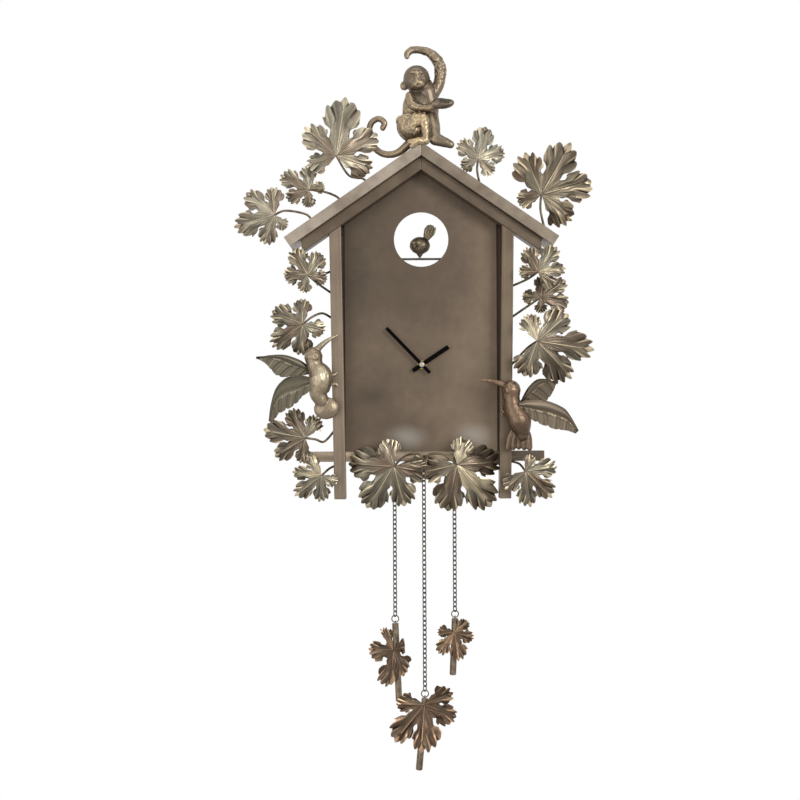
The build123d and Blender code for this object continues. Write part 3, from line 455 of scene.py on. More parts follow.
def lobe_grid(lobes, index, crown, dish, luck):
    """One lobe: a grid drawn out from the hub, pinched where it leaves the web and pressed into fingers
    that spring from the midrib, each tilted its own way and ending in a tooth."""
    bearing, reach = lobes[index]
    reach *= 0.001
    sides = []
    for other in (index - 1, index + 1):
        if 0 <= other < len(lobes):
            gap = abs(bearing - lobes[other][0]) / 2
            sinus = sinus_share * min(reach, lobes[other][1] * 0.001)
            sides.append((min(lobe_spread, gap), gap, sinus))
        else:
            sides.append((outer_spread, None, None))
    fingers = [
        [
            (luck.uniform(-finger_tilt, finger_tilt), luck.uniform(*finger_bold), luck.random())
            for _ in range(side_fingers)
        ]
        for _ in range(2)
    ]
    fingers[1][0] = fingers[0][0]
    pitch_share = luck.uniform(*finger_pitch)
    lean = luck.uniform(*lobe_lean) * reach
    twist = luck.uniform(-lobe_twist, lobe_twist)
    fold = luck.uniform(*lobe_fold)
    waves, shift = luck.uniform(*wave_count), luck.uniform(0, 6.28)
    tone = luck.random()
    bpy.ops.mesh.primitive_grid_add(x_subdivisions=64, y_subdivisions=26, size=2)
    grid = bpy.context.object
    marks = grid.data.attributes.new("relief", "FLOAT", "POINT")
    tints = grid.data.attributes.new("tint", "FLOAT", "POINT")
    for vertex in grid.data.vertices:
        across, along = vertex.co.x, (vertex.co.y + 1) / 2
        edge = abs(across)
        half, gap, sinus = sides[0] if across < 0 else sides[1]
        free = max(along - web, 0) / (1 - web)
        neck = 1 - neck_pinch * math.sin(math.pi * min(free / neck_end, 1))
        if gap is None:
            side_reach = along * shoulder * reach
            spread = half * (0.8 + 0.2 * along) * neck
        else:
            side_reach = sinus * along / web if free == 0 else sinus + (shoulder * reach - sinus) * free
            spread = (gap + (half - gap) * smooth(0, 0.4, free)) * neck
        out = along * (1 - (1 - shoulder) * edge**2) * reach
        out += (side_reach - out) * edge**8
        turn = math.radians(across * spread)
        spring = out / reach * (math.cos(turn) - finger_lean * abs(math.sin(turn)))
        phase = (1 - spring) / pitch_share
        count = min(int(max(phase, 0) + 0.5), side_fingers - 1)
        part = max(min(phase - count, 0.5), -0.5)
        tilt, bold, hue = fingers[across < 0][count]
        out += tooth * reach * (0.42 - (2 * abs(part)) ** 1.4) * bold * smooth(0.78, 1.0, along)
        wide = out * math.sin(turn)
        aside = abs(wide) / reach
        pressed = smooth(0.40, 0.85, out / reach) * (1 if count == 0 else smooth(0.03, 0.12, aside))
        groove = hump(0.5 - abs(part), 0.08) * pressed * smooth(0.6, 0.95, out / reach)
        slant = math.copysign(part, across) if count == 0 else part
        rib = hump(aside, 0.017) * (1 - 0.6 * along) * smooth(0.0, 0.12, along)
        seam = 0
        if gap is not None:
            seam = hump(1 - edge, 0.06) * smooth(0.12, 0.3, along) * (1 - smooth(0.48, 0.56, along))
        vein = hump(edge - 0.55, 0.05) * smooth(0.1, 0.25, along) * (1 - smooth(0.5, 0.8, along))
        rise = pressed * (2 * tilt * slant + finger_crown * bold * (1 - 4 * part**2))
        rise -= groove_depth * groove
        wave = math.cos(math.pi * waves * across + shift) * smooth(0.2, 0.7, along)
        rise += wave_height * wave
        rise = reach * (rise + rib_height * rib + vein_height * vein)
        rise += wide * twist * smooth(0.3, 1, along) - abs(wide) * fold * smooth(0.2, 0.8, along)
        rise -= lean * along**2
        rise *= 1 - edge**3 * (1 - smooth(web, web + 0.2, along))
        rise += seam_height * seam
        sag = crown - math.sqrt(crown**2 - min(out, crown) ** 2)
        heading = math.radians(bearing) + turn
        vertex.co = (out * math.sin(heading), dish * sag - rise, out * math.cos(heading))
        # Painted highlight: a bright line along one side of each finger.
        painted_glint = hump(part - 0.30, 0.09) * pressed
        mark = 0.35 + 0.40 * rib + 0.14 * vein + 0.4 * seam + 0.14 * wave + 0.65 * painted_glint * bold
        marks.data[vertex.index].value = mark - 0.75 * groove + 0.12 * smooth(0.93, 1, along)
        tints.data[vertex.index].value = tone + (hue - tone) * pressed
    return grid


def join(name, pieces):
    bpy.ops.object.select_all(action="DESELECT")
    for piece in pieces:
        piece.select_set(True)
    bpy.context.view_layer.objects.active = pieces[0]
    bpy.ops.object.join()
    pieces[0].name = name
    return pieces[0]


def give_gauge(sheet, gauge):
    """Turns a stamped sheet's face to the front and gives it its thickness."""
    face_forward(sheet)
    wall = sheet.modifiers.new("gauge", "SOLIDIFY")
    wall.thickness = gauge
    wall.offset = -1
    apply_all(sheet)
    bpy.ops.object.shade_smooth_by_angle(angle=math.radians(50))


def pressed_leaf(name, lobes, seed, dish=1):
    """A leaf about its hub, its lobes welded along their webs; dish 1 bends it back, -1 forward."""
    luck = random.Random(seed)
    crown = leaf_crown * sum(reach for _, reach in lobes) / len(lobes) * 0.001
    grids = [lobe_grid(lobes, index, crown, dish, luck) for index in range(len(lobes))]
    leaf = join(name, grids)
    bpy.ops.object.mode_set(mode="EDIT")
    bpy.ops.mesh.select_all(action="SELECT")
    bpy.ops.mesh.remove_doubles(threshold=1e-5)
    bpy.ops.mesh.normals_make_consistent(inside=False)
    bpy.ops.object.mode_set(mode="OBJECT")
    give_gauge(leaf, leaf_sheet)
    return leaf


def rubbed_metal(name, scale, *tones):
    """Cast and pressed trim, mottled to a scale: dark in the hollows, brown and sage between, pale gold
    where it is rubbed, and painted highlights and painted shade where a piece marks them in its relief."""
    dark, brown, sage, gold = (shade(*tone) for tone in tones)
    off, full = (0, 0, 0, 1), (1, 1, 1, 1)
    metal = Finish(name, Metallic=0.85)
    height = metal.add("ShaderNodeAttribute", {"attribute_name": "relief"}, {}, "Fac")
    hue = metal.add("ShaderNodeAttribute", {"attribute_name": "tint"}, {}, "Fac")
    patch = metal.cloud(scale, 4.0)
    drift = metal.cloud(scale * 0.45, 2.0, (1.3, 1.0, 0.8))
    speck = metal.cloud(scale * 12, 4.0)
    body = metal.ramp(drift * 0.6 + patch * 0.4 + hue * 0.4 - 0.2, (0.36, brown), (0.64, sage))
    warm = metal.ramp(hue, (0.80, off), (0.95, full))
    body = (warm * 0.5).between(body, gold)
    worn = metal.ramp(height + patch * 0.35 - 0.175, (0.46, off), (0.86, full))
    hollow = metal.ramp(height + speck * 0.2 - 0.1, (0.10, full), (0.36, off))
    colour = (hollow * 0.8).between((worn * 0.9).between(body, gold), dark)
    metal.surface(colour, 0.34 - worn * 0.06 + speck * 0.10, speck)
    return metal


leaf_grain = 24.0
leaf_metal = rubbed_metal(
    "leaf_bronze", leaf_grain, (46, 38, 30), (104, 89, 75), (120, 114, 99), (212, 195, 161)
)
pale_metal = rubbed_metal(
    "leaf_pale_bronze", leaf_grain, (62, 53, 43), (124, 110, 94), (140, 135, 119), (206, 192, 162)
)
# A darker copy of the leaf bronze: painted shade for the large right eave leaf, which faces the key
# lamp.
shaded_leaf_metal = rubbed_metal(
    "leaf_painted_shade_bronze", leaf_grain, (42, 34, 27), (94, 79, 65), (107, 99, 84), (194, 176, 144)
)
brown_metal = rubbed_metal(
    "leaf_brown_bronze", leaf_grain, (44, 34, 26), (88, 69, 55), (94, 81, 66), (184, 150, 118)
)
leaf_tones = {node: pale_metal for node in leaf_lobes if "eave" in node}
leaf_tones["leaf_right_eave_large"] = shaded_leaf_metal
for number, (node, (hub, lobes)) in enumerate(leaf_lobes.items()):
    leaf = pressed_leaf(f"{node}_blade", lobes, first_seed + number)
    leaf.data.transform(Matrix.Translation(Vector(hub) * 0.001))
    seat(leaf, "house", leaf_tones.get(node, leaf_metal), "leaf_bronze", node)


# Pendants: a smaller leaf dished forward and brazed to the front of a short rod, which hangs by the
# staple in its top from the ring of the chain and leans as the leaf's weight draws it.
pendants = {
    "left": (
        (-37.0, -33.0, -595.8), -35.2, -2.5, -50, 92,
        ((67, 25), (140, 39), (183, 45), (270, 37), (320, 33)),
    ),
    "centre": (
        (1.5, -69.0, -689.2), -7.8, 5, 0, 71,
        ((61, 39), (105, 43), (180, 57), (216, 58), (268, 36)),
    ),
    "right": (
        (42.5, -33.0, -589.7), -18.3, 2.5, 0, 72,
        ((48, 23), (104, 25), (170, 35), (217, 33), (269, 22)),
    ),
}
rod_reach = 0.0052
for hand, (staple, drop_to_hub, lean, turn, seed, lobes) in pendants.items():
    leaf = pressed_leaf(f"{hand}_pendant_blade", lobes, seed, -1)
    leaf.data.transform(
        Matrix.Translation(Vector(staple) * 0.001)
        @ Matrix.Rotation(math.radians(lean), 4, "Y")
        @ Matrix.Translation((0, 0, drop_to_hub * 0.001))
        @ Matrix.Rotation(math.radians(turn), 4, "Z")
        @ Matrix.Translation((0, -rod_reach, 0))
    )
    seat(leaf, f"{hand}_pendant", brown_metal, "leaf_bronze", f"{hand}_pendant_leaf")


# Monkey: a hollow resin-filled casting in bronze, modelled in wax with combed fur and pinned astride
# the ridge. One arm curls over its head, the other holds out an open palm, the tail coils at the left.
def eased_path(joints, steps=8):
    """Points on a smooth curve through the joints, so many steps from each to the next."""
    ends = [joints[0], *joints, joints[-1]]
    path = []
    for four in zip(ends, ends[1:], ends[2:], ends[3:]):
        for t in [step / steps for step in range(steps)]:
            point = []
            for p, q, r, s in zip(*four):
                square, cube = p - 2.5 * q + 2 * r - s / 2, 1.5 * (q - r) + (s - p) / 2
                point.append(q + t * (r - p) / 2 + t * t * square + t**3 * cube)
            path.append(point)
    return [*path, list(joints[-1])]


def limb(*joints, flat=1.0):
    """A ball drawn out along a curve through the joints, (x, y, z, radius) in mm for each."""
    path = eased_path([[value * 0.001 for value in joint] for joint in joints])
    spots = [Vector(point[:3]) for point in path]
    tangents = [(b - a).normalized() for a, b in zip([spots[0], *spots], [*spots[1:], spots[-1]])]
    round_end = [math.radians(tip) for tip in (30, 55, 80)]
    start, stop, last = path[0][3], path[-1][3], len(spots) - 1
    rings = [
        (spots[0] - tangents[0] * start * math.sin(tip), start * math.cos(tip), 0)
        for tip in reversed(round_end)
    ]
    rings += [(spot, point[3], index) for index, (spot, point) in enumerate(zip(spots, path))]
    rings += [
        (spots[-1] + tangents[-1] * stop * math.sin(tip), stop * math.cos(tip), last)
        for tip in round_end
    ]
    bpy.ops.mesh.primitive_uv_sphere_add(segments=18, ring_count=len(rings) + 1, radius=1)
    piece = bpy.context.object
    normal = tangents[0].orthogonal().normalized()
    frames = []
    for tangent in tangents:
        normal = (normal - tangent * normal.dot(tangent)).normalized()
        frames.append((normal.copy(), tangent.cross(normal)))
    for vertex in piece.data.vertices:
        ring = round(math.acos(max(-1, min(1, vertex.co.z))) / math.pi * (len(rings) + 1)) - 1
        centre, radius, index = rings[min(max(ring, 0), len(rings) - 1)]
        first, second = frames[index]
        turn = math.atan2(vertex.co.y, vertex.co.x)
        share = 1.0 if 0 <= ring < len(rings) else 0.0
        vertex.co = centre + share * radius * (first * math.cos(turn) + second * math.sin(turn) * flat)
    return piece


def lump(centre, radii, turn=0.0):
    """An egg-shaped mass in mm, turned about the depth."""
    bpy.ops.mesh.primitive_uv_sphere_add(segments=28, ring_count=18, radius=1)
    piece = bpy.context.object
    piece.data.transform(
        Matrix.Translation(Vector(centre) * 0.001)
        @ Matrix.Rotation(math.radians(turn), 4, "Y")
        @ Matrix.Diagonal((*(radius * 0.001 for radius in radii), 1))
    )
    return piece


def fuse(name, pieces, grain, soften):
    """The masses of a casting run together into one skin."""
    figure = join(name, pieces)
    skin = figure.modifiers.new("skin", "REMESH")
    skin.mode = "VOXEL"
    skin.voxel_size = grain
    ease_skin = figure.modifiers.new("soften", "SMOOTH")
    ease_skin.iterations = soften
    ease_skin.factor = 0.5
    apply_all(figure)
    bpy.ops.object.shade_smooth()
    return figure


def tool(figure, work):
    """Works the skin in or out along its normal: work gives the rise at a place."""
    skin = figure.data.vertices
    moved = [vertex.co + vertex.normal * work(vertex.co) for vertex in skin]
    for vertex, place in zip(skin, moved):
        vertex.co = place


def wear(figure, gain, passes, rub_and_shade):
    """Marks how far each spot stands out from its surroundings, for the rubbing of the finish;
    rub_and_shade adds to it where the finish is rubbed away more, and takes from it where it is left
    dark and where shade is painted."""
    mesh = figure.data
    places = numpy.array([vertex.co for vertex in mesh.vertices])
    normals = numpy.array([vertex.normal for vertex in mesh.vertices])
    ends = numpy.array([tuple(edge.vertices) for edge in mesh.edges])
    first, second = ends.T
    count = numpy.maximum(numpy.bincount(ends.ravel(), minlength=len(places)), 1)[:, None]
    level = places.copy()
    for _ in range(passes):
        total = numpy.zeros_like(level)
        numpy.add.at(total, first, level[second])
        numpy.add.at(total, second, level[first])
        level = total / count
    stand = ((places - level) * normals).sum(axis=1)
    extra = numpy.array([rub_and_shade(vertex.co) for vertex in mesh.vertices])
    relief = mesh.attributes.new("relief", "FLOAT", "POINT")
    relief.data.foreach_set("value", numpy.clip(0.42 + gain * stand + extra, 0, 1).astype(numpy.float32))


def near(place, centre, radius):
    """1 at the centre, falling to nothing beyond the radius, in mm."""
    return math.exp(-((place * 1000 - Vector(centre)).length / radius) ** 2)


monkey = fuse(
    "monkey_casting",
    [
        lump((-3, -50, 84), (21, 15, 30)),
        lump((-7, -50, 62), (25, 17, 22)),
        lump((-27, -50, 70), (6, 7, 6)),
        limb((8, -50, 108, 13), (12, -50, 92, 12), (14, -54, 74, 9.5)),
        lump((-5.2, -54, 124), (17.6, 17, 17.8)),
        lump((-4.2, -65, 120.5), (12, 8.5, 12.5)),
        lump((-3.0, -71, 114.5), (8.5, 6, 6)),
        lump((-4.5, -70, 129), (9.5, 3, 2.6), 4),
        lump((-21.4, -54, 115.0), (5.6, 4.2, 6.2)),
        lump((11, -51, 120), (4.2, 2.6, 5)),
        limb(
            (14, -49, 101, 8.6), (22.5, -49.5, 114, 7.6), (26, -50, 127, 7.6),
            (26, -50, 140, 7.9), (20.4, -51, 151.4, 7.2), (11, -51.5, 159.2, 6.0),
            (-0.4, -52, 162.4, 5.0), (-11.5, -53, 162.4, 4.8),
        ),
        limb((-11.5, -53.5, 162, 4.8), (-17, -55, 157.5, 4.5), (-17.6, -56, 153, 3.6)),
        limb((-14, -58, 100, 6.6), (-8.5, -65.5, 87, 6.0), (6, -69.5, 83, 5.0), (20, -72, 86, 4.6)),
        lump((28.5, -73, 88.5), (15.5, 8, 7.6), -4),
        limb((14, -58, 74, 9.5), (17, -66, 58, 8.6), (19, -72, 46, 7.0), (27, -75, 39.5, 6.2)),
        limb((18, -73, 41, 7.6), (30, -75, 37.5, 6.8), (38.5, -76, 34, 5.2)),
        lump((-11, -62, 60), (19.5, 13.5, 18)),
        limb((-14, -58, 60, 13), (-5, -68, 66, 11.5), (3, -73, 67, 8.5)),
        limb((4, -74, 67, 7.4), (6, -77, 53, 5.6), (6, -78, 41, 5.2)),
        limb((7, -78, 38.5, 5.0), (-3, -80, 38, 5.0), (-14, -79, 37, 4.4)),
        limb((-6, -79, 36, 4.2), (-12, -80, 31.5, 3.4)),
        limb(
            (-14, -42, 42, 6.2), (-30, -38, 29.5, 5.0), (-46, -36, 27.3, 4.6),
            (-60, -35, 35, 4.4), (-68, -35, 52, 4.3), (-66, -36, 68, 4.2),
            (-56, -38, 74.5, 4.1), (-48, -39, 69, 4.1), (-50, -39, 62, 4.0),
        ),
    ],
    0.0009,
    4,
)
eye_spots = ((-10.8, -71, 124.5), (2.0, -71, 124.8))
tufts = (((-19, -64, 74), 21), ((-6, -75, 66), 18), ((-4, -80, 37), 14))
bright_tufts = (((-19, -64, 74), 20), ((-6, -76, 66), 17), ((-4, -82, 37), 12))


def monkey_work(place):
    """Combed fur, blotched on the raised arm, tufted on the flank, the thigh and the toes, a lined face
    and a hollow palm."""
    comb = noise.noise(Vector((place.x * 330, place.y * 330, place.z * 120)))
    tuft = noise.noise(Vector((place.x * 330, place.y * 330, place.z * 260)) + Vector((7, 3, 1)))
    arm = near(place, (27, -50, 140), 26)
    flank = max(near(place, *spot) for spot in tufts)
    mask = near(place, (-4, -74, 122), 14)
    rise = 0.00022 * comb + 0.0013 * tuft * max(arm, flank) + 0.0011 * tuft * mask
    for spot in eye_spots:
        rise -= 0.0018 * near(place, spot, 2.8)
        rise += 0.0012 * near(place, (spot[0], spot[1] - 1, spot[2]), 1.1)
    rise -= 0.0016 * near(place, (-3, -77, 112), 3.0)
    rise -= 0.0045 * near(place, (33, -78, 93), 6.0)
    for groove in range(3):
        rise -= 0.0010 * near(place, (38 + groove * 0.2, -78 + groove * 3, 36), 1.3)
    return rise


tool(monkey, monkey_work)
saddle_half = 0.09
saddle_z = ridge_z - saddle_half * slope
saddle = ((0, ridge_z), (saddle_half, saddle_z), (-saddle_half, saddle_z))
cut_out(monkey, prism("roof_cutter", saddle, roof_front, 0.0))


def monkey_rub_and_shade(place):
    """Rubbed bright on the tufts, the face and the arm; painted shade in the palm and under the chin."""
    flank = max(near(place, *spot) for spot in bright_tufts)
    face, arm = near(place, (-4, -74, 120), 12), near(place, (28, -55, 128), 14)
    bright = 0.27 * flank + 0.02 * face + 0.08 * arm
    # Painted shade: the palm and the chest under the chin are darkened.
    return bright - 0.9 * near(place, (31, -77, 94), 9) - 0.2 * near(place, (4, -66, 96), 12)


wear(monkey, 240, 14, monkey_rub_and_shade)
cast_metal = rubbed_metal(
    "cast_bronze", 40.0, (58, 50, 42), (114, 101, 86), (124, 114, 99), (208, 184, 144)
)
seat(monkey, "house", cast_metal, "figure_bronze", "monkey")


# Cuckoo: a small round bird cast in bronze and brazed by its foot to the perch rod, with its beak to the
# front and its tail cocked in a ribbed fan.
cuckoo = fuse(
    "cuckoo_casting",
    [
        lump((-1.7, -37, -94), (13.6, 12.5, 11.6)),
        limb((-5.5, -47, -94.5, 2.6), (-8.0, -53, -95.8, 0.8)),
        limb((-1.8, -37, -103, 6), (-2, -37, -109.2, 1.8)),
        *[
            limb(
                (6.5 + rib, -37, -86, 2.2),
                (11 + rib * 3.4, -37, -76 - rib * 1.5, 2.0),
                (14.2 + rib * 2.8, -37, -67.5 - rib * 1.2 - abs(rib) * 1.4, 1.6),
            )
            for rib in (-1.5, -0.5, 0.5, 1.5)
        ],
    ],
    0.0006,
    2,
)


def cuckoo_work(place):
    """Short feathering, eyes and the dip under the beak."""
    feather = noise.noise(Vector((place.x * 420, place.y * 420, place.z * 420)))
    rise = 0.0003 * feather
    for spot in ((-10.0, -45.5, -91.0), (-3.6, -48.5, -90.5)):
        rise += 0.0011 * near(place, spot, 1.5)
    rise -= 0.0007 * near(place, (-5, -48, -98), 4)
    return rise


def cuckoo_rub(place):
    """The tail is left dark."""
    return -0.14 * near(place, (12, -38, -74), 12)


tool(cuckoo, cuckoo_work)
wear(cuckoo, 420, 10, cuckoo_rub)
dark_cast = rubbed_metal(
    "cuckoo_bronze", 60.0, (44, 40, 35), (94, 84, 68), (100, 96, 88), (206, 184, 140)
)
seat(cuckoo, "house", dark_cast, "figure_bronze", "cuckoo_bird")


# Hummingbirds: cast bodies with a ringed eye and a long bill, gripping the posts by their claws. The
# left one's tail is a rounded fan curled over the post, the right one's is five straight feathers.
def ring(centre, radius, wire):
    bpy.ops.mesh.primitive_torus_add(
        major_segments=28, minor_segments=10, major_radius=radius * 0.001, minor_radius=wire * 0.001
    )
    piece = bpy.context.object
    facing = Matrix.Rotation(math.pi / 2, 4, "X")
    piece.data.transform(Matrix.Translation(Vector(centre) * 0.001) @ facing)
    return piece


left_bird = fuse(
    "hummingbird_left_casting",
    [
        limb(
            (-141.6, -84, -241.7, 12.3), (-139.5, -84, -253, 10.8), (-133.2, -84, -266, 16.0),
            (-133.4, -84, -279, 15.0), (-135.2, -84, -290, 11.6), (-131, -83.5, -299, 9.5),
        ),
        lump((-124.6, -83, -309.2), (16.8, 7, 14.2), -12),
        ring((-138.4, -95.2, -241.7), 3.6, 1.2),
        lump((-138.4, -95.0, -241.4), (1.7, 1.7, 1.7)),
        limb((-137, -85, -233, 4.6), (-124, -85, -222, 3.0), (-108.8, -84, -213.6, 1.0)),
        limb((-128, -80, -268, 2.6), (-113, -71.5, -265, 2.0)),
        limb((-127, -80, -279, 2.6), (-112.5, -71.5, -277.5, 2.0)),
        *[lump((-114 + 2.6 * toe, -72, -264.5 + 1.5 * toe), (2.0, 1.8, 1.7)) for toe in (-1, 0, 1)],
        *[lump((-113 + 2.0 * toe, -72, -277.5 - 2.0 * toe), (2.0, 1.8, 1.7)) for toe in (-1, 0, 1)],
    ],
    0.0008,
    3,
)
right_bird = fuse(
    "hummingbird_right_casting",
    [
        limb(
            (115.0, -86, -286.5, 12.8), (115.5, -86, -299, 10.8), (118.5, -86, -312, 13.0),
            (125.5, -86, -326, 15.4), (128, -86, -337, 12.5), (128.5, -86, -345, 8.0),
        ),
        ring((111.5, -97.2, -286.5), 3.4, 1.1),
        lump((111.5, -97.2, -286.5), (1.6, 1.6, 1.6)),
        limb(
            (108, -86.5, -281, 4.8), (96, -86, -276.5, 3.4),
            (84, -86, -274.2, 2.2), (72, -86, -273.4, 0.9),
        ),
        limb((114, -82, -317, 2.8), (104.5, -71.5, -315, 2.0)),
        *[
            lump((104.8 - abs(toe) * 0.4, -74, -316 - 3.2 * toe), (1.9, 1.8, 1.7))
            for toe in (-2, -1, 0, 1)
        ],
        *[
            limb(
                (126.5 + 2.6 * quill, -86 + abs(quill), -334, 4.6),
                (126 + 5.8 * quill, -86 + abs(quill), -347, 5.0),
                (125 + 7.0 * quill, -85.5 + abs(quill), -360 - 0.8 * abs(quill), 4.6),
                flat=0.6,
            )
            for quill in (-2, -1, 0, 1, 2)
        ],
    ],
    0.0008,
    2,
)


def bird_work(place):
    """Short feathering, laid down the body."""
    lay = noise.noise(Vector((place.x * 420, place.y * 420, place.z * 200)))
    return 0.00028 * lay


def bird_rub(place):
    """The left breast is rubbed bright; the left head, the right belly and both tails are left dark."""
    bright = 0.18 * near(place, (-126, -98, -264), 14)
    dark = 0.20 * near(place, (-125, -90, -311), 19) + 0.08 * near(place, (-142, -95, -241), 11)
    dark += 0.16 * near(place, (131, -96, -332), 16) + 0.20 * near(place, (125, -90, -356), 20)
    return bright - dark


pale_cast = rubbed_metal(
    "bird_pale_bronze", 40.0, (92, 81, 67), (146, 131, 110), (156, 147, 126), (222, 210, 180)
)
copper_cast = rubbed_metal(
    "bird_copper_bronze", 40.0, (54, 46, 38), (112, 92, 75), (110, 99, 84), (186, 158, 128)
)
for bird, hand, metal in ((left_bird, "left", pale_cast), (right_bird, "right", copper_cast)):
    tool(bird, bird_work)
    wear(bird, 170, 14, bird_rub)
    seat(bird, "house", metal, "figure_bronze", f"hummingbird_{hand}_body")


# Wings: each a stamped plate with a smooth shoulder, a row of beaded coverts and a fan of round-ended
# flight feathers, soldered to the bird's back.
wing_plates = {
    "left": (
        (
            (-148, -80, -260), 14, 6, 0.34,
            ((4, 2), (-4, 9), (-14, 15), (-32, 20.5), (-52, 20), (-69, 16.5)),
            ((4, -4), (-14, -7.5), (-26, -8.5), (-40, -7.5), (-49, 0.5), (-57, 9.5), (-69, 16.0)),
        ),
        (
            (-148, -90, -274), -14, 6, 0.50,
            ((6, 4), (-4, 7), (-16, 7.5), (-31, 4), (-44, -9), (-51, -30), (-54, -50.5)),
            ((6, -10), (-8, -20), (-19, -31), (-30, -37), (-40, -42), (-46, -49), (-50, -54.5)),
        ),
    ),
    "right": (
        (
            (130, -80, -300), -14, 5, 0.30,
            ((-2, -1), (3, 9), (9, 18), (20, 27), (34, 27), (45, 22)),
            ((-2, -5), (12, -5), (24, -3.5), (32, -0.5), (37, 5), (41.5, 13), (45, 21.5)),
        ),
        (
            (126, -94, -304), 14, 7, 0.46,
            ((-2, 1), (8, 4), (18, 4.5), (37, 3), (59, -6), (69, -17), (80, -35.5)),
            ((-2, -10), (8, -17), (17, -22), (30, -28), (48, -34), (64, -36), (76, -40)),
        ),
    ),
}
wing_sheet, wing_front, feather_lap = 0.0017, 0.0018, 0.0008


def along_curve(path, share):
    """A place share of the way along a path."""
    at = min(max(share, 0.0), 1.0) * (len(path) - 1)
    low = min(int(at), len(path) - 2)
    return [a + (b - a) * (at - low) for a, b in zip(path[low], path[low + 1])]


def feathered_plate(root, turn, feathers, shoulder_share, leading, trailing):
    """A wing: a grid stretched between its two edges, stepped into feathers and beaded."""
    bpy.ops.mesh.primitive_grid_add(x_subdivisions=feathers * 10, y_subdivisions=30, size=2)
    plate = bpy.context.object
    swing = math.radians(turn)
    leading, trailing = eased_path(leading, 6), eased_path(trailing, 6)
    marks = plate.data.attributes.new("relief", "FLOAT", "POINT")
    for vertex in plate.data.vertices:
        out, down = (vertex.co.x + 1) / 2, (1 - vertex.co.y) / 2
        quill = out * feathers
        part = quill - int(min(quill, feathers - 1e-6))
        sweep = out - 0.16 * math.sin(math.pi * out) * (1 - down)
        top = along_curve(leading, sweep)
        foot = along_curve(trailing, out)
        scallop = (2 * part - 1) ** 4 * smooth(0.8, 1.0, down)
        tip = 1 - 0.07 * scallop * math.sin(math.pi * min(out * 1.1, 1))
        a, b = (top[i] + (foot[i] - top[i]) * down * tip for i in (0, 1))
        flight = smooth(shoulder_share - 0.02, shoulder_share + 0.05, down)
        bead = hump(down - shoulder_share, 0.05) * abs(math.sin(math.pi * quill * 4))
        vane = 1 - part
        shaft = hump(part - 0.5, 0.09)
        bulge = 0.0016 * math.sin(math.pi * min(down / shoulder_share, 1)) * (1 - flight)
        rise = bulge + flight * (feather_lap * vane + 0.0004 * shaft) + 0.0008 * bead
        forward = wing_front + rise - 0.0010
        vertex.co = (
            (root[0] + a * math.cos(swing)) * 0.001 + forward * math.sin(swing),
            (root[1] + a * math.sin(swing)) * 0.001 - forward * math.cos(swing),
            (root[2] + b) * 0.001,
        )
        mark = 0.40 + 0.28 * bead + flight * (0.10 * shaft - 0.40 * smooth(0.86, 1.0, part))
        marks.data[vertex.index].value = mark - 0.06 * (1 - flight)
    bpy.ops.object.mode_set(mode="EDIT")
    bpy.ops.mesh.select_all(action="SELECT")
    bpy.ops.mesh.remove_doubles(threshold=1e-6)
    bpy.ops.object.mode_set(mode="OBJECT")
    give_gauge(plate, wing_sheet)
    return plate


left_wing = rubbed_metal(
    "left_wing_bronze", 30.0, (42, 38, 30), (84, 78, 65), (92, 90, 77), (170, 160, 132)
)
right_wing = rubbed_metal(
    "right_wing_bronze", 30.0, (48, 41, 33), (88, 78, 65), (98, 91, 77), (178, 162, 132)
)
for hand, wing_metal in (("left", left_wing), ("right", right_wing)):
    plates = [feathered_plate(*plate) for plate in wing_plates[hand]]
    wings = join(f"hummingbird_{hand}_wing_pair", plates)
    seat(wings, "house", wing_metal, "figure_bronze", f"hummingbird_{hand}_wings")


# Wire work: stems of bent steel wire brazed between the leaves and the frame, the perch, the eyes and
# the pendant rods, all unevenly bronzed, and chains of browned brass wire. Only the stems are shaped
# here: the others keep their plain drawn shapes.
def wire_finish(name, low, high, rough):
    """Drawn wire, blotched from a low to a high tone."""
    wire = Finish(name, Metallic=0.85)
    patch = wire.cloud(120.0, 4.0)
    tone = wire.ramp(patch, (0.38, shade(*low)), (0.64, shade(*high)))
    wire.surface(tone, rough + patch * 0.15, patch)
    return wire


bronzed_wire = wire_finish("wire_bronze", (68, 58, 45), (118, 103, 80), 0.32)
browned_brass = wire_finish("chain_brass", (48, 44, 38), (104, 97, 85), 0.30)
rod_bronze = wire_finish("rod_bronze", (96, 84, 70), (132, 117, 98), 0.34)
stem_routes = {
    "roof_stems": (
        ((-111, -61, 22), (-95, -58, -3), (-77, -56, -7), (-71, -55, -13)),
        ((-148, -45, -20), (-128, -46, -23), (-111, -47, -30), (-106, -47, -38)),
        ((-192, -69, -56), (-178, -66, -50), (-152, -60, -54), (-143, -58, -63)),
        ((75, -59, 17), (74, -57, 2), (78, -55, -18)),
        ((158, -59, -30), (157, -57, -50), (163, -55, -77)),
    ),
    "side_stems": (
        ((-148, -87, -136), (-136, -73, -146), (-118.4, -58, -158)),
        ((-133, -85, -134), (-126, -72, -133), (-118.8, -58, -129)),
        ((-155, -84, -200), (-143, -78, -190), (-130, -70, -185), (-118, -58, -191)),
        ((-153, -69, -348), (-140, -66, -350), (-129, -62, -353), (-115.8, -58, -339)),
        ((-131, -87, -396), (-122, -76, -388), (-115.2, -62, -385)),
        ((150, -93, -134), (138, -76, -142), (118.6, -60, -150)),
        ((155, -71, -166), (140, -66, -176), (118, -58, -191)),
        ((148, -99, -224), (136, -80, -233), (117, -60, -254)),
        ((133, -87, -392), (126, -76, -383), (115.2, -62, -380)),
    ),
    "sill_stems": (
        ((-38, -63, -386), (-22, -66, -372), (-6, -68, -370), (1.5, -69, -377)),
        ((45, -63, -384), (28, -66, -371), (10, -68, -370), (1.5, -69, -377)),
        ((-38, -63, -386), (-37, -50, -378), (-37, -39.5, -376)),
        ((45, -63, -384), (43, -50, -377), (43, -39.5, -376)),
        ((1.5, -69, -377), (2.5, -54, -373), (1.5, -39.5, -374)),
    ),
}
stem_thick = 1.5
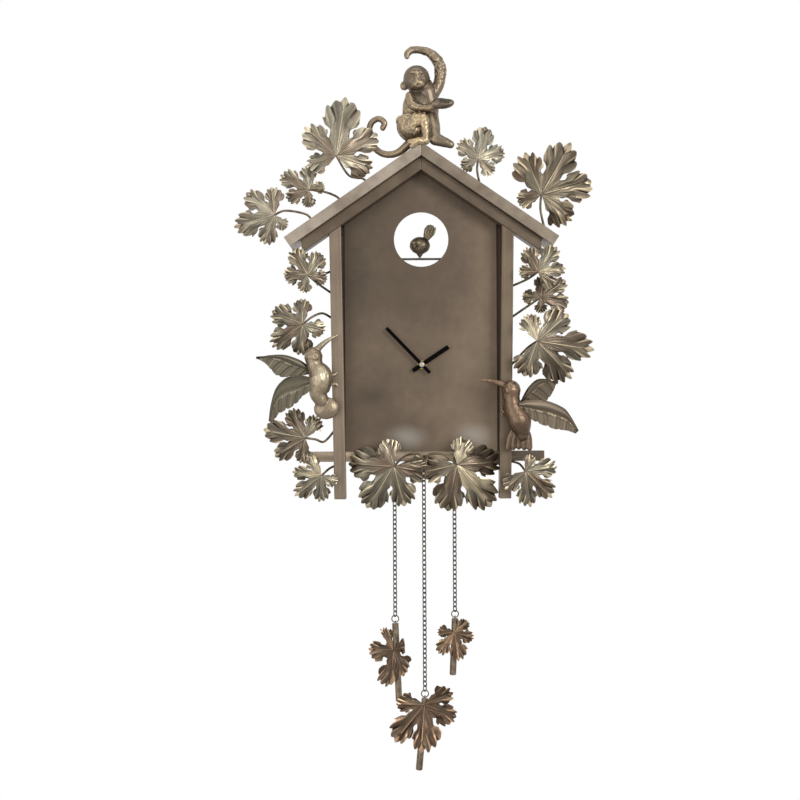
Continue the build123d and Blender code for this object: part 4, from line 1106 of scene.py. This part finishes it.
for node, routes in stem_routes.items():
    wires = [limb(*[(*point, stem_thick) for point in route]) for route in routes]
    stems = join(f"{node}_wire", wires)
    bpy.ops.object.shade_smooth()
    seat(stems, "house", bronzed_wire, "wire_bronze", node)
perch_bronze = wire_finish("perch_bronze", (58, 55, 48), (96, 91, 80), 0.34)
dress(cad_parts["chain_eyes"], bronzed_wire)
dress(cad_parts["perch_rod"], perch_bronze)
for hand in ("left", "centre", "right"):
    dress(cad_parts[f"{hand}_chain"], browned_brass)
    dress(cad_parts[f"{hand}_pendant_rod"], rod_bronze)


# Movement and hands: a quartz movement in a black plastic case behind the dial, held by a brass nut on
# its bush, with blackened baton hands and a domed bright nut in front, and the steel hanger plate.
def plain_finish(name, colour, rough, metal, gloss):
    """One colour with a fine speck a little paler."""
    plain = Finish(name, Metallic=metal, Specular_IOR_Level=gloss)
    speck = plain.cloud(300.0, 3.0)
    paler = [value * 1.15 for value in colour[:3]] + [1]
    plain.surface(plain.ramp(speck, (0.3, colour), (0.8, paler)), rough + speck * 0.08)
    return plain


# Each: finish, colour, roughness, metal, gloss and the pieces that have it
works = (
    ("case_black", (28, 28, 29), 0.45, 0.0, 0.5, ("movement_case", "movement_cover", "setting_knob")),
    ("hand_black", (7, 5, 4), 0.6, 0.0, 0.03, ("hour_hand", "minute_hand")),
    ("nut_silver", (164, 157, 147), 0.28, 1.0, 0.5, ("hand_nut",)),
    ("arbor_brass", (190, 158, 92), 0.28, 1.0, 0.5, ("minute_arbor", "dial_nut")),
    ("washer_rubber", (34, 33, 32), 0.75, 0.0, 0.5, ("dial_washer",)),
    ("battery_sleeve", (42, 60, 70), 0.35, 0.0, 0.5, ("battery",)),
    ("contact_steel", (180, 180, 178), 0.25, 1.0, 0.5, ("battery_contacts",)),
    ("coil_copper", (184, 110, 66), 0.35, 1.0, 0.5, ("motor_coil",)),
    ("board_green", (38, 84, 52), 0.45, 0.0, 0.5, ("circuit_board",)),
    ("gear_white", (222, 220, 212), 0.42, 0.0, 0.5, ("hour_wheel", "motion_wheel")),
    ("hanger_steel", (150, 148, 144), 0.35, 1.0, 0.5, ("hanger_plate",)),
)
for name, colour, rough, metal, gloss, nodes in works:
    finish = plain_finish(name, shade(*colour), rough, metal, gloss)
    for node in nodes:
        dress(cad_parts[node], finish)


# Stage: a pale floor far below the clock, a white surround, a broad key lamp in front on the right,
# a weaker one on the left and one above.
floor_size, floor_z, room_grey = 6, -1.9, 0.48
lamp_target = Vector((0, -0.05, -0.25))
bpy.ops.mesh.primitive_plane_add(size=floor_size, location=(0, 0, floor_z))
floor = bpy.context.object
floor.name = "floor"
dress(floor, Finish("pale_floor", Base_Color=(0.8, 0.8, 0.8, 1), Roughness=0.9))

world = bpy.data.worlds.new("surround")
bpy.context.scene.world = world
world.use_nodes = True
sky = world.node_tree
sky.nodes.clear()
rays = sky.nodes.new("ShaderNodeLightPath")
seen = rays.outputs["Is Camera Ray"]
for ray in ("Is Glossy Ray", "Is Transmission Ray"):
    either = sky.nodes.new("ShaderNodeMath")
    either.operation = "MAXIMUM"
    sky.links.new(seen, either.inputs[0])
    sky.links.new(rays.outputs[ray], either.inputs[1])
    seen = either.outputs[0]
choose = sky.nodes.new("ShaderNodeMixShader")
sky.links.new(seen, choose.inputs[0])
for socket, grey in ((1, room_grey), (2, 1.0)):
    backdrop = sky.nodes.new("ShaderNodeBackground")
    backdrop.inputs["Color"].default_value = (grey, grey, grey, 1)
    sky.links.new(backdrop.outputs[0], choose.inputs[socket])
surround = sky.nodes.new("ShaderNodeOutputWorld")
sky.links.new(choose.outputs[0], surround.inputs["Surface"])

for name, spot, width, power in (
    ("key_lamp", (1.5, -2.4, 0.45), 1.0, 38.0),
    ("fill_lamp", (-1.6, -2.3, -0.4), 1.8, 17.0),
    ("top_lamp", (-0.1, -0.8, 1.8), 1.4, 8.0),
):
    lamp = bpy.data.lights.new(name, "AREA")
    lamp.energy = power
    lamp.size = width
    stand = bpy.data.objects.new(name, lamp)
    bpy.context.scene.collection.objects.link(stand)
    stand.location = spot
    aim = lamp_target - Vector(spot)
    stand.rotation_euler = aim.to_track_quat("-Z", "Y").to_euler()


# Camera: straight at the front, 2.2 m from the face of the house, where the picture is 1.056 m wide, a
# little left of the middle and rolled a third of a degree.
picture_half, distance = 0.528, 2.2
camera_place, camera_roll = (-0.02917, -2.25, -0.2989), math.radians(0.3)
lens = bpy.data.cameras.new("camera")
lens.angle = 2 * math.atan(picture_half / distance)
viewer = bpy.data.objects.new("camera", lens)
bpy.context.scene.collection.objects.link(viewer)
viewer.matrix_world = (
    Matrix.Translation(camera_place)
    @ Matrix.Rotation(camera_roll, 4, "Y")
    @ Matrix.Rotation(math.pi / 2, 4, "X")
)
bpy.context.scene.camera = viewer
bpy.context.scene.view_settings.view_transform = "Standard"
